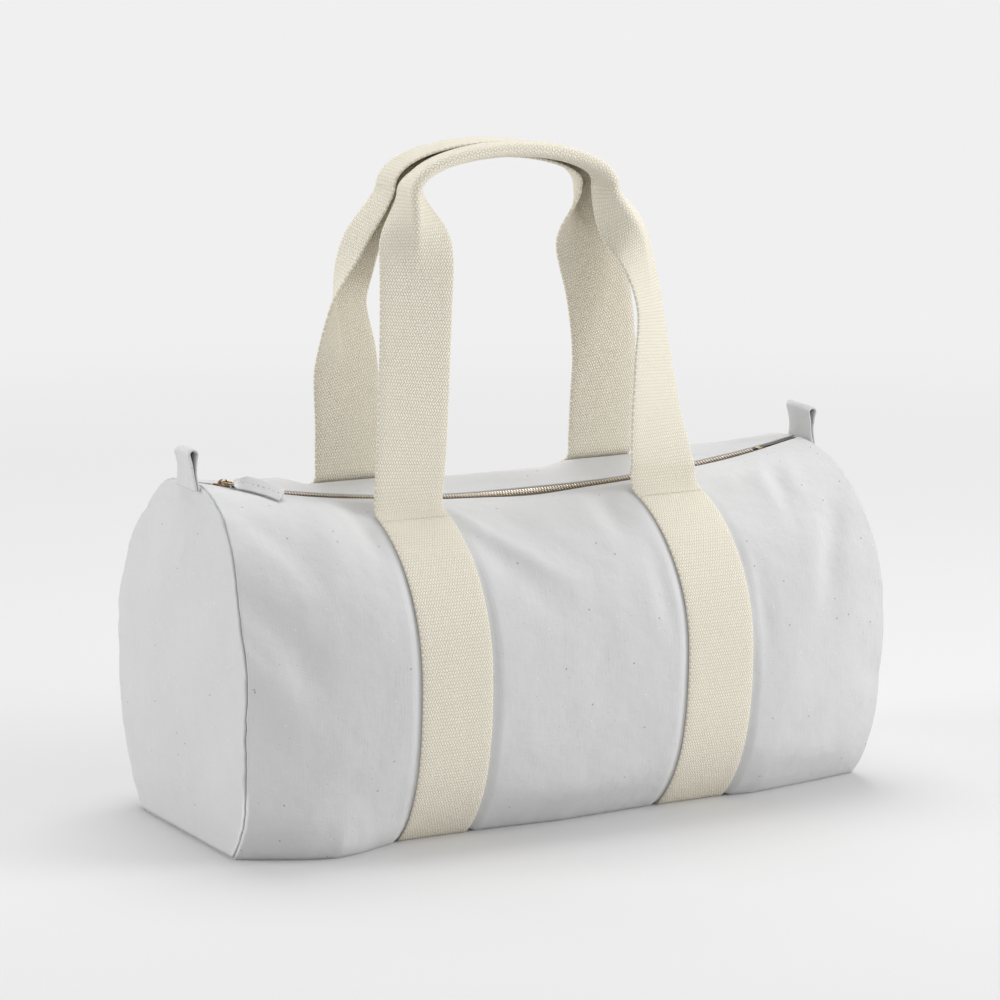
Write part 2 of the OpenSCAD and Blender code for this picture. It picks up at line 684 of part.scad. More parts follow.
// A tab is a folded strip whose two ends are caught in the end seam
module end_tab(side) {
    top = top_z(side * arc_half);
    foot_z = top - tab_sink;
    eye_z = tab_h - tab_gap / 2 - tab_t;
    out_r = tab_gap / 2 + tab_t;
    face_x = seam_x(foot_z) + end_puff(0, foot_z / top) + seam_gap;
    color(canvas_colour)
        translate([side * (face_x + tab_t), tab_w / 2, foot_z])
            rotate([90, 0, 0])
                linear_extrude(tab_w)
                    difference() {
                        union() {
                            translate([0, eye_z])
                                circle(out_r, $fn = 48);
                            polygon([[-tab_t, 0], [tab_t, 0], [out_r, eye_z], [-out_r, eye_z]]);
                        }
                        translate([0, eye_z])
                            circle(tab_gap / 2, $fn = 48);
                        polygon([[0, tab_t], [tab_gap / 2, eye_z], [-tab_gap / 2, eye_z]]);
                    }
}
module left_end_tab() end_tab(left_sign);
module right_end_tab() end_tab(right_sign);

body_panel();
left_end_panel();
right_end_panel();
left_seam_binding();
right_seam_binding();
left_strap();
right_strap();
front_handle();
back_handle();
front_zip_tape();
back_zip_tape();
front_zip_teeth();
back_zip_teeth();
zip_top_stops();
zip_bottom_stop();
slider_body();
pull_ring();
canvas_pull();
left_end_tab();
right_end_tab();
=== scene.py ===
# %% [markdown]
# # Barrel bag
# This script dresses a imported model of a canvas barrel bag, so that it looks like the real one.
# The model gives the exact places: the zip, the slider and the hinge lines. Here the soft pieces
# are made again as cloth, each from the same formulas as the model, with folds, seams and weave.
# Lengths are in millimetres while the shapes are worked out, and in metres in the finished meshes.

import json
import math
import bmesh
import bpy
import numpy as np
from mathutils import Matrix, Vector, noise

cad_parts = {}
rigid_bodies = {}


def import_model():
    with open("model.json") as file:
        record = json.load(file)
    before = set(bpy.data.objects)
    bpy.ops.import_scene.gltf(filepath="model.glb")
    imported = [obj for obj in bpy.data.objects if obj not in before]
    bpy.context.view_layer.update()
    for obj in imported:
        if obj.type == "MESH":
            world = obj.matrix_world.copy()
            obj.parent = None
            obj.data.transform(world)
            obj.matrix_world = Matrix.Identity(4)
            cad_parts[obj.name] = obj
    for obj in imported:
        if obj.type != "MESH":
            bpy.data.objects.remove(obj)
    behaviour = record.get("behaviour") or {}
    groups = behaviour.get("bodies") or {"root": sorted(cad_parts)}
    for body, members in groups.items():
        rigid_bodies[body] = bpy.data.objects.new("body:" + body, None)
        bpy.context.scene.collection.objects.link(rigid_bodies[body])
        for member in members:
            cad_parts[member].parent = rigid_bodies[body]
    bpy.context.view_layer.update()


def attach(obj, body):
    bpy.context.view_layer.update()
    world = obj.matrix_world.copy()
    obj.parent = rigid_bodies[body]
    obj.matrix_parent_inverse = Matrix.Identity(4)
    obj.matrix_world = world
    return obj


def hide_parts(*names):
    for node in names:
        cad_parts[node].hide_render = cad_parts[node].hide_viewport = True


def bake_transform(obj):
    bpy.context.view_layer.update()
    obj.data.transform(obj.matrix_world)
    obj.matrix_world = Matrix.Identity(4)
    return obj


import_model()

# %% [markdown]
# ## Camera
# The camera stands where the photographer stood: to the left, a little above the bag, and far away
# with a long lens. It comes first, so that every later piece can be judged from there.

# %% Camera
MM = 0.001


def add_object(name, data):
    made = bpy.data.objects.new(name, data)
    bpy.context.scene.collection.objects.link(made)
    return made


CAMERA_AWAY = 2.838
LOOK_AT = Vector((-5.2, 0, 206.9)) * MM
azimuth, elevation, roll = math.radians(-29.29), math.radians(10.8), math.radians(0.37)
back = Vector((math.sin(azimuth) * math.cos(elevation),
               -math.cos(azimuth) * math.cos(elevation), math.sin(elevation)))
right = (-back).cross(Vector((0, 0, 1))).normalized()
up = right.cross(-back)
right, up = (right * math.cos(roll) + up * math.sin(roll),
             up * math.cos(roll) - right * math.sin(roll))
camera = add_object("camera", bpy.data.cameras.new("camera"))
camera.matrix_world = (Matrix.Translation(LOOK_AT + back * CAMERA_AWAY)
                       @ Matrix((right, up, back)).transposed().to_4x4())
camera.data.sensor_width = 36
camera.data.lens = 148.6
camera.data.clip_end = 50
bpy.context.scene.camera = camera
print("camera at", [round(v, 3) for v in camera.location])

# %% [markdown]
# ## Sizes
# These repeat the driving sizes of the model, in millimetres, because the cloth has to lie exactly
# where the zip, the hinges and the base of the model expect it. Only the ramp beside a strap is
# 0.6 times that of the model: the canvas sinks there in a narrower band.

# %% Sizes of the bag
BAG_LEN, TOP_LEAN, BASE_LEAN = 494, 8, 2.5
END_H, END_DROP, ZIP_SAG = 234.5, 7, 24
END_W, BELLY_W = 206, 239
WIDEST_H, BASE_SINK = 112, 22
CANVAS_T, VALLEY, BACK_RISE, END_BULGE = 1.2, 4, 8, 5
WEB_W, WEB_T = 50, 2
STRAP_PITCH, STITCH_Y = 204, 43.6
HANDLE_H, SHOULDER_SPAN, ARCH_RISE, ARCH_GAP = 239.5, 152, 29, 2.4
FRONT_LEAN, BACK_LEAN, FRONT_TILT, BACK_TILT = 5, 8.5, 3, 7
FOLD_R, FOLD_TURN = 3.2, math.radians(86)
TAPE_W, TAPE_T, TAPE_DROP = 14, 0.6, 1.2
SLIDER_INSET, SLIDER_LEN, SLIDER_W = 21, 11, 8.2
RING_LEN, PULL_LEN, PULL_W, PULL_YAW = 8, 34, 12.6, 39
TAB_W, TAB_H, TAB_T, TAB_SINK = 29.6, 27, 1.6, 4
SEAM_GAP, LAY_GAP, RUN_GAP = 0.1, 0.2, 0.3
UPPER_EXP, LOWER_EXP, TAPER_EXP = 2.1, 2.6, 4
SIDE_STEPS, BASE_STEPS = 16, 4

ARC_HALF = BAG_LEN / 2 - TOP_LEAN - CANVAS_T - SEAM_GAP
ARC_R = (ARC_HALF ** 2 + ZIP_SAG ** 2) / (2 * ZIP_SAG)
ARC_X = END_DROP / 2 / ARC_HALF * ARC_R
ARC_Z = END_H - ZIP_SAG + ARC_R
LIP_Y = SLIDER_W / 2 + RUN_GAP
LIP_H = TAPE_T / 2 + SEAM_GAP + CANVAS_T
STRAP_MID = STRAP_PITCH / 2
GROOVE_DEPTH, GROOVE_RAMP, GROOVE_PLAY = WEB_T + LAY_GAP, 0.6 * WEB_W / 5, WEB_W / 25
STRAP_EDGE = WEB_W / 2 + GROOVE_PLAY
HALF_STEPS = SIDE_STEPS + BASE_STEPS
ENDS, SIDES = ((-1, "left"), (1, "right")), ((-1, "front"), (1, "back"))
print("zip radius", round(ARC_R, 1), "mm, lowest point at x =", round(ARC_X, 1))

# %% [markdown]
# ## Shape of the stuffed body
# A point of the body is named by x, its distance along the barrel, and k, its step round the side:
# 0 at the edge beside the zip, 16 where the side meets the flat base and 20 in the middle of the
# base. The side is a superellipse above and below the widest height.

# %% Top and width of the body
def mix(a, b, t):
    return a + (b - a) * t


def ease(t):
    t = np.clip(t, 0, 1)
    return t * t * (3 - 2 * t)


def zip_z(x):
    return ARC_Z - np.sqrt(ARC_R ** 2 - (x - ARC_X) ** 2)


def half_w(x):
    return mix(BELLY_W, END_W, np.abs(2 * x / BAG_LEN) ** TAPER_EXP) / 2


def valley(x):
    return VALLEY * (1 - np.clip(np.abs(x) / ARC_HALF, 0, 1) ** 2)


def top_z(x):
    return zip_z(x) + LIP_H + valley(x)


print("top of the canvas at mid length", round(float(top_z(0.0)), 1), "mm")

# %% Round the side
STRAP_TOP_Z = (top_z(STRAP_MID) + top_z(-STRAP_MID)) / 2
OUT_Y = STITCH_Y - WEB_T - TAPE_W


def shoulder_z(x, y):
    off = (np.abs(np.abs(x) - STRAP_MID) - STRAP_EDGE) / STRAP_EDGE
    return mix(top_z(x), STRAP_TOP_Z, (1 - ease(off)) * ease((y - TAPE_W) / OUT_Y))


def rise(p):
    x, y, z = p[..., 0], p[..., 1], p[..., 2]
    along = (np.abs(x) - STRAP_MID - STRAP_EDGE) / (ARC_HALF - STRAP_MID - STRAP_EDGE)
    lifted = ease((z - WIDEST_H) / (STRAP_TOP_Z - 2 * CANVAS_T - WIDEST_H))
    return BACK_RISE * ease((y - TAPE_W) / OUT_Y) * lifted * mix(1, 0.3, ease(along))


BASE_ANGLE = math.asin((WIDEST_H / (WIDEST_H + BASE_SINK)) ** (LOWER_EXP / 2))


def side_point(x, a):
    c, s = np.cos(a), np.sin(a)
    upper_y = half_w(x) * np.clip(c, 0, 1) ** (2 / UPPER_EXP)
    upper_z = (WIDEST_H + (shoulder_z(x, upper_y) - WIDEST_H) * np.clip(s, 0, 1) ** (2 / UPPER_EXP)
               - valley(x) * (1 - np.clip(upper_y / STITCH_Y, 0, 1) ** 2) ** 2)
    lower_y = half_w(x) * np.clip(c, 0, 1) ** (2 / LOWER_EXP)
    lower_z = WIDEST_H - (WIDEST_H + BASE_SINK) * np.clip(-s, 0, 1) ** (2 / LOWER_EXP)
    return np.where(a >= 0, upper_y, lower_y), np.where(a >= 0, upper_z, lower_z)


def outline(x, k):
    lip = np.arccos((LIP_Y / half_w(x)) ** (UPPER_EXP / 2))
    y, z = side_point(x, mix(lip, -BASE_ANGLE, np.clip(k / SIDE_STEPS, 0, 1)))
    flat = np.clip((k - SIDE_STEPS) / BASE_STEPS, 0, 1)
    return y * (1 - flat), np.where(flat > 0, 0, z)


print("widest point at mid length", [round(float(v), 1) for v in side_point(0.0, 0.0)])


# %% Points of the body
def seam_x(z):
    above = z > WIDEST_H
    s = (z - WIDEST_H) / np.where(above, END_H - WIDEST_H, WIDEST_H)
    return BAG_LEN / 2 - np.where(above, TOP_LEAN, BASE_LEAN) * s * s


def groove(x, z, k):
    off = np.abs(np.abs(x) - STRAP_PITCH / BAG_LEN * seam_x(z)) - WEB_W / 2 - GROOVE_PLAY
    return GROOVE_DEPTH * (1 - ease(off / GROOVE_RAMP)) * ease((k / SIDE_STEPS - 0.13) / 0.33)


def outward(x, k):
    ya, za = outline(x, np.maximum(0, k - 0.5))
    yb, zb = outline(x, np.minimum(HALF_STEPS, k + 0.5))
    size = np.hypot(yb - ya, zb - za)
    ny, nz = -(zb - za) / size, (yb - ya) / size
    flat = k >= SIDE_STEPS + 1
    return np.where(flat, 0, ny), np.where(flat, -1, nz)


def skin(x, k, off, side):
    """Points of the body, off outside its canvas; side is -1 at the front and 1 at the back."""
    x, k = np.broadcast_arrays(np.asarray(x, float), np.asarray(k, float))
    y, z = outline(x, k)
    ny, nz = outward(x, k)
    d = off - groove(x, z, k)
    p = np.stack([x, (y + ny * d) * side, z + nz * d], axis=-1)
    p[..., 2] += rise(p)
    return p


print("a point under the left strap", skin(-STRAP_MID, 8, 0, -1).round(1))

# %% [markdown]
# ## Helpers for meshes
# Every soft piece starts as a flat grid made by an operator. Its vertices are then put in place
# from an array of points, so that the formulas above decide the form. UVs are in metres of real
# cloth, which keeps the weave at its true scale on every piece.

# %% Mesh helpers
def mesh_from(bm, name):
    mesh = bpy.data.meshes.new(name)
    bm.to_mesh(mesh)
    bm.free()
    mesh.shade_smooth()
    return mesh


def grid_mesh(name, points, uv, seam=None, close=False):
    """A mesh from an array of points in mm, rows by columns, with values for the painted shadow and
    painted highlight of its seams.
    """
    rows, cols = points.shape[:2]
    bm = bmesh.new()
    bmesh.ops.create_grid(bm, x_segments=cols - 1, y_segments=rows - 1, size=1)
    place = {}
    for v in bm.verts:
        i = round((v.co.y + 1) / 2 * (rows - 1))
        j = round((v.co.x + 1) / 2 * (cols - 1))
        place[v.index] = (i, j)
    layer = bm.loops.layers.uv.new("cloth")
    for face in bm.faces:
        for loop in face.loops:
            i, j = place[loop.vert.index]
            loop[layer].uv = uv[i, j] * MM
    for v in bm.verts:
        i, j = place[v.index]
        v.co = points[i, j] * MM
    if seam is not None:
        values = bm.verts.layers.float.new("seam")
        for v in bm.verts:
            v[values] = float(seam[place[v.index]])
    if close:
        bmesh.ops.remove_doubles(bm, verts=bm.verts, dist=1e-6)
        bmesh.ops.holes_fill(bm, edges=[e for e in bm.edges if e.is_boundary], sides=0)
        bmesh.ops.recalc_face_normals(bm, faces=bm.faces)
    return mesh_from(bm, name)


def dress(piece, material):
    piece.data.materials.clear()
    piece.data.materials.append(material)


def add_piece(name, mesh, material, slot, node=None, body="bag"):
    """Adds a piece that moves with a body, and that takes the place of a node of the model."""
    piece = add_object(name, mesh)
    dress(piece, material)
    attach(piece, body)
    if node:
        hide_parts(node)
    return piece


def thicken(piece):
    """Gives a single layer of canvas its thickness, on the inner side."""
    thick = piece.modifiers.new("thickness", "SOLIDIFY")
    thick.thickness = CANVAS_T * MM
    thick.offset = -1


# %% Ribbons and stitches
def lengths(points):
    """Running length along the rows of an array of points."""
    step = np.linalg.norm(np.diff(points, axis=0), axis=-1)
    return np.concatenate([np.zeros((1,) + step.shape[1:]), np.cumsum(step, axis=0)])


def unit(v):
    return v / np.linalg.norm(v, axis=-1, keepdims=True)


def ribbon(name, middle, thick, rim=3):
    """A closed band with rounded edges round a grid of points: rows along it, columns across it."""
    normal = unit(np.cross(np.gradient(middle, axis=0), np.gradient(middle, axis=1)))
    across = unit(np.gradient(middle, axis=1))
    half = thick / 2
    v = lengths(middle[:, middle.shape[1] // 2])
    u = lengths(np.swapaxes(middle, 0, 1)).T
    u = u - u[:, -1:] / 2
    angles = np.linspace(math.pi / 2, -math.pi / 2, rim + 2)[1:-1]
    top, low = middle + normal * half, middle - normal * half
    right_rim, left_rim = (
        np.stack([middle[:, edge] + way * half * (normal[:, edge] * math.sin(a)
                                                  + across[:, edge] * math.cos(a))
                  for a in angles], 1) for edge, way in ((-1, 1), (0, -1)))
    ring = np.concatenate([top, right_rim, low[:, ::-1], left_rim, top[:, :1]], axis=1)
    ring_u = np.concatenate([u, np.repeat(u[:, -1:], rim, 1), u[:, ::-1],
                             np.repeat(u[:, :1], rim, 1), u[:, :1]], axis=1)
    uv = np.stack([ring_u, np.repeat(v[:, None], ring.shape[1], 1)], axis=-1)
    return grid_mesh(name, ring, uv, close=True)


def add_band(name, grid, thick, *finish):
    """Adds a ribbon round a grid of points, with material, slot (not used), node and body as for a
    piece.
    """
    return add_piece(name, ribbon(name, grid, thick), *finish)


def stitch_row(name, starts, ends, normals, thick):
    """A row of thread stitches, each a small capsule from one point to the next."""
    bm = bmesh.new()
    for a, b, n in zip(starts, ends, normals):
        made = bmesh.ops.create_icosphere(bm, subdivisions=2, radius=1)["verts"]
        a, b, n = Vector(a) * MM, Vector(b) * MM, Vector(n).normalized()
        along = (b - a).normalized()
        side = n.cross(along)
        for v in made:
            c = v.co.copy()
            v.co = ((a + b) / 2 + along * c.x * (b - a).length / 2
                    + side * c.y * thick / 2 * MM + n * c.z * thick / 2.4 * MM)
    return mesh_from(bm, name)


def cloth_noise(x, y, z, scale):
    """Smooth noise from -1 to 1 at points given in millimetres, one coordinate or all as arrays."""
    points = np.stack(np.broadcast_arrays(x, y, z), axis=-1) / scale
    values = np.array([noise.noise(p) for p in points.reshape(-1, 3)])
    return values.reshape(points.shape[:-1])


# %% [markdown]
# ## Materials
# Cotton canvas, cotton webbing and old brass. The weaves read the UVs, in metres, so that a thread
# is as wide on a small tab as on the body. Each effect is a node group that feeds the shader. The
# helpers let the nodes be written as a formula.

# %% Node helpers
class Wire:
    """What comes out of a node. A sum, difference or product of wires becomes a math node."""

    def __init__(self, socket):
        self.socket, self.tree = socket, socket.id_data

    def __add__(self, other):
        return math_node("ADD", self, other)

    def __sub__(self, other):
        return math_node("SUBTRACT", self, other)

    def __rsub__(self, other):
        return math_node("SUBTRACT", other, self)

    def __mul__(self, other):
        return math_node("MULTIPLY", self, other)


def feed(socket, value):
    """Links what comes out of a node to a socket, or sets the socket to a number or a colour."""
    if isinstance(value, Wire):
        socket.id_data.links.new(value.socket, socket)
    else:
        socket.default_value = value


def new_node(tree, kind, inputs, output=0, **settings):
    """Adds a node, feeds its inputs by name or number, and returns one of its outputs."""
    node = tree.nodes.new("ShaderNode" + kind)
    for name, value in settings.items():
        setattr(node, name, value)
    for name, value in inputs.items():
        feed(node.inputs[name], value)
    return Wire(node.outputs[output])


def math_node(operation, *values):
    tree = next(v.tree for v in values if isinstance(v, Wire))
    return new_node(tree, "Math", dict(enumerate(values)), operation=operation)


def coordinates(tree, kind):
    return new_node(tree, "TexCoord", {}, kind)


def split(vector):
    node = new_node(vector.tree, "SeparateXYZ", {0: vector}).socket.node
    return [Wire(socket) for socket in node.outputs]


def noise_at(vector, scale, detail=2.0, rough=0.5):
    return new_node(vector.tree, "TexNoise", {"Vector": vector, "Scale": scale, "Detail": detail,
                                              "Roughness": rough}, "Fac")


def blend_colour(factor, a, b):
    return new_node(factor.tree, "Mix", {0: factor, 6: a, 7: b}, 2, data_type="RGBA")


def new_group(name):
    """An empty node group that makes a colour and a height from a tint."""
    tree = bpy.data.node_groups.new(name, "ShaderNodeTree")
    tree.interface.new_socket("Tint", in_out="INPUT", socket_type="NodeSocketColor")
    tree.interface.new_socket("Color", in_out="OUTPUT", socket_type="NodeSocketColor")
    tree.interface.new_socket("Height", in_out="OUTPUT", socket_type="NodeSocketFloat")
    tint = Wire(tree.nodes.new("NodeGroupInput").outputs["Tint"])
    return tree, tint, tree.nodes.new("NodeGroupOutput").inputs


def new_material(name, **inputs):
    """A material and the inputs of its shader, some of them set here."""
    material = bpy.data.materials.new(name)
    material.use_nodes = True
    shader = material.node_tree.nodes["Principled BSDF"].inputs
    for label, value in inputs.items():
        feed(shader[label.replace("_", " ")], value)
    return material, shader


# %% [markdown]
# ## Canvas
# Plain weave could be a picture, but a procedural one stays sharp close up and needs no file. Two
# sine waves give warp and weft, and noise gives slubs, flecks of raw cotton and soft crumples.
# Along the end seams a value on the mesh paints shadow into the seam and a highlight on its edge.

# %% Canvas
THREAD = 0.00075
# For each size of crumple: how fine it is, and its height
CRUMPLES = ((30, 15.0), (80, 5.0))
# For each layer of flecks: how dense, radius, share of places that have one, and strength
FLECKS = ((95, 0.055, 0.055, 0.7), (160, 0.06, 0.05, 0.4))


def canvas_group():
    """Plain weave with slubs, soft crumples, stains, the flecks of raw cotton, and painted shadow
    and painted highlight along the end seams.
    """
    tree, tint, out = new_group("canvas")
    uv, place = coordinates(tree, "UV"), coordinates(tree, "Object")
    wander = noise_at(place, 150) * 0.0016
    warp, weft = (math_node("SINE", (v + wander) * (2 * math.pi / THREAD)) for v in split(uv)[:2])
    slubs = [noise_at(new_node(tree, "Mapping", {"Vector": uv, "Scale": squeeze}), 900)
             for squeeze in ((1, 0.07, 1), (0.07, 1, 1))]
    slubs = slubs[0] + slubs[1]
    height = warp * weft * 0.14 + slubs
    for scale, depth in CRUMPLES:
        height = height + noise_at(place, scale) * depth
    feed(out["Height"], height)
    tone = noise_at(place, 22, 3) * 0.08 + slubs * 0.04 + noise_at(place, 130) * 0.06
    shade = blend_colour(tone, tint, (0.42, 0.42, 0.43, 1))
    for scale, size, share, strength in FLECKS:
        near = new_node(tree, "TexVoronoi", {"Vector": uv, "Scale": scale}, "Distance",
                        voronoi_dimensions="2D")
        chance = split(Wire(near.socket.node.outputs["Color"]))[0]
        near = math_node("LESS_THAN", near, size)
        dark = near * math_node("LESS_THAN", chance, share)
        pale = near * math_node("GREATER_THAN", chance, 1 - share)
        shade = blend_colour(dark * strength, shade, (0.20, 0.18, 0.15, 1))
        shade = blend_colour(pale * (strength * 0.7), shade, (0.86, 0.86, 0.84, 1))
    # The seam value paints shadow into the end seams where it is positive, and a highlight on their
    # edge where it is negative.
    seam = new_node(tree, "Attribute", {}, "Fac", attribute_name="seam")
    shade = blend_colour(math_node("MAXIMUM", seam, 0), shade, (0.20, 0.20, 0.20, 1))
    highlight_and_wear = math_node("MAXIMUM", seam * -1, 0)
    feed(out["Color"], blend_colour(highlight_and_wear, shade, (0.90, 0.90, 0.89, 1)))
    return tree


# %% [markdown]
# ## Webbing
# Carrying webbing is woven coarse and thick. From close by, its short yarns look like rows of
# leaning bricks. So each row is shifted by half a brick, and leans the other way than the last. The
# gaps between the yarns are darkened with painted shade.

# %% Webbing
ROW_PITCH, COLUMN_PITCH = 0.00225, 0.0019


def webbing_group():
    """Coarse webbing: rows of short yarns that lean one way and then the other, like bricks."""
    tree, tint, out = new_group("webbing weave")
    x, y, _ = split(coordinates(tree, "UV"))
    place = coordinates(tree, "Object")
    wander = noise_at(place, 260, 1)
    row = y * (1 / ROW_PITCH) + wander * 0.3
    odd = math_node("FLOORED_MODULO", math_node("FLOOR", row), 2)
    within = math_node("FRACT", row) - 0.5
    column = x * (1 / COLUMN_PITCH) + odd * 0.5 + within * (odd * 1.1 - 0.55) + wander * 0.5
    across = math_node("COSINE", column * (2 * math.pi)) * 0.46 + 0.54
    yarn = across * (1 - math_node("POWER", math_node("ABSOLUTE", within) * 2, 5))
    feed(out["Height"], yarn + noise_at(place, 2600, 1) * 0.25)
    # Painted shade: the colour darkens where the yarns sink, in the gaps between them.
    shade = blend_colour((1 - yarn) * 0.52, tint, (0.50, 0.44, 0.32, 1))
    feed(out["Color"], blend_colour(noise_at(place, 40) * 0.12, shade, (0.74, 0.66, 0.50, 1)))
    return tree


# %% [markdown]
# ## Cloth materials
# The same two weaves serve all the cloth and the thread, each with its own tint, shine and depth.

# %% Cloth materials
def cloth_material(name, group, tint, roughness, bump, distance):
    material, shader = new_material(name, Roughness=roughness, Sheen_Weight=0.15,
                                    Specular_IOR_Level=0.2)
    colour = new_node(material.node_tree, "Group", {}, node_tree=group)
    effect = colour.socket.node
    feed(effect.inputs["Tint"], tint)
    feed(shader["Base Color"], Wire(effect.outputs["Color"]))
    feed(shader["Normal"], new_node(material.node_tree, "Bump", {
        "Strength": bump, "Distance": distance, "Height": Wire(effect.outputs["Height"])}))
    return material


canvas_weave, web_weave = canvas_group(), webbing_group()
# The zip tape is near-black brown: painted shade for the gaps between the teeth. The hidden seam
# bindings share it.
canvas, webbing, shade_dark_tape, cream_thread, grey_thread = (
    cloth_material(name, group, tint + (1,), *surface) for name, group, tint, surface in (
        ("grey canvas", canvas_weave, (0.665, 0.665, 0.668), (0.9, 0.35, 0.0004)),
        ("cream webbing", web_weave, (0.93, 0.887, 0.775), (0.85, 0.8, 0.0005)),
        ("zip tape", canvas_weave, (0.15, 0.13, 0.105), (0.9, 0.3, 0.0003)),
        ("cream thread", canvas_weave, (0.84, 0.79, 0.67), (0.7, 0.2, 0.0002)),
        ("grey thread", canvas_weave, (0.60, 0.60, 0.61), (0.7, 0.2, 0.0002))))


# %% [markdown]
# ## Brass
# Antique brass is dark brown with patina in its hollows, and noise gives it patches of wear. A mask
# from the direction of each face also paints light and shade on it: tops get a painted highlight,
# faces to the front and back a lesser one, stronger at the back, and the sides and gaps stay dark
# as painted shade.

# %% Brass
def brass_material(name, bright, dark, side_highlight):
    """Antique brass with patina and patchy wear, a painted highlight on top and on the faces to the
    front and back, stronger at the back, and painted shade on the sides.
    """
    material, shader = new_material(name, Metallic=1)
    place = coordinates(material.node_tree, "Object")
    age = noise_at(place, 900, 3, 0.6)
    _, facing, facing_up = split(coordinates(material.node_tree, "Normal"))
    # Painted highlight by the direction of each face, full on the back row and weaker in front.
    # Noise adds patchy wear, and faces to the sides stay dark as painted shade.
    share = math_node("GREATER_THAN", split(place)[1], 0.0002) * 0.65 + 0.35
    facing = math_node("ABSOLUTE", facing) * side_highlight
    highlight_and_wear = math_node("MAXIMUM", facing_up, facing) * share + (0.5 - age) * 0.8
    highlight_and_wear = math_node("MINIMUM", math_node("MAXIMUM", highlight_and_wear, 0), 1)
    feed(shader["Base Color"], blend_colour(highlight_and_wear, dark, bright))
    feed(shader["Roughness"], 0.5 - highlight_and_wear * 0.15)
    return material


# For each brass: the colour of its painted highlight, the dark brown of its patina and painted
# shade, and how strongly faces to the front and back are lit by paint.
teeth_brass = brass_material("teeth brass", (1.0, 0.95, 0.84, 1), (0.20, 0.12, 0.045, 1), 0.75)
aged_brass = brass_material("aged brass", (0.74, 0.58, 0.36, 1), (0.13, 0.085, 0.045, 1), 0.7)
print("materials:", ", ".join(m.name for m in bpy.data.materials))

# %% [markdown]
# ## Folds of the canvas
# A fold is a line of points on the bag, with a width and a height. The lines follow what the
# photograph shows: slack canvas hangs from the end seams in slanting dimples, and a long soft ridge
# runs down from the left strap. Everything that lies on the canvas uses the same displacement.

# %% Lines of folds
ks_fine = np.linspace(0, HALF_STEPS, 401)
girth_table = np.concatenate([[0], np.cumsum(np.hypot(*np.diff(outline(0.0, ks_fine), axis=1)))])


def girth(k):
    return np.interp(k, ks_fine, girth_table)


def on_side(point):
    """Place of a point of the bag as (distance along it, distance round it from the zip)."""
    x, y, z = point
    ys, zs = outline(x, ks_fine)
    return x, float(girth_table[np.argmin(np.hypot(ys - abs(y), zs - z))])


def fold(x, g, line, width, height):
    """A rounded ridge, or a furrow where the height is negative, that fades out at its ends."""
    points = [np.array(on_side(p)) for p in line]
    sizes = [np.linalg.norm(b - a) for a, b in zip(points, points[1:])]
    total, run = sum(sizes), 0.0
    best = np.full(np.shape(x), 1e9)
    where = np.zeros(np.shape(x))
    for a, b, size in zip(points, points[1:], sizes):
        t = np.clip(((x - a[0]) * (b[0] - a[0]) + (g - a[1]) * (b[1] - a[1])) / size ** 2, 0, 1)
        d = np.hypot(x - mix(a[0], b[0], t), g - mix(a[1], b[1], t))
        near = d < best
        where = np.where(near, (run + t * size) / total, where)
        best = np.where(near, d, best)
        run += size
    fade = np.clip(np.sin(math.pi * mix(0.06, 0.94, where)), 0, 1) ** 1.2
    return height * fade * np.exp(-(best / width) ** 2)


print("girth from zip to zip", round(2 * float(girth_table[-1])), "mm")

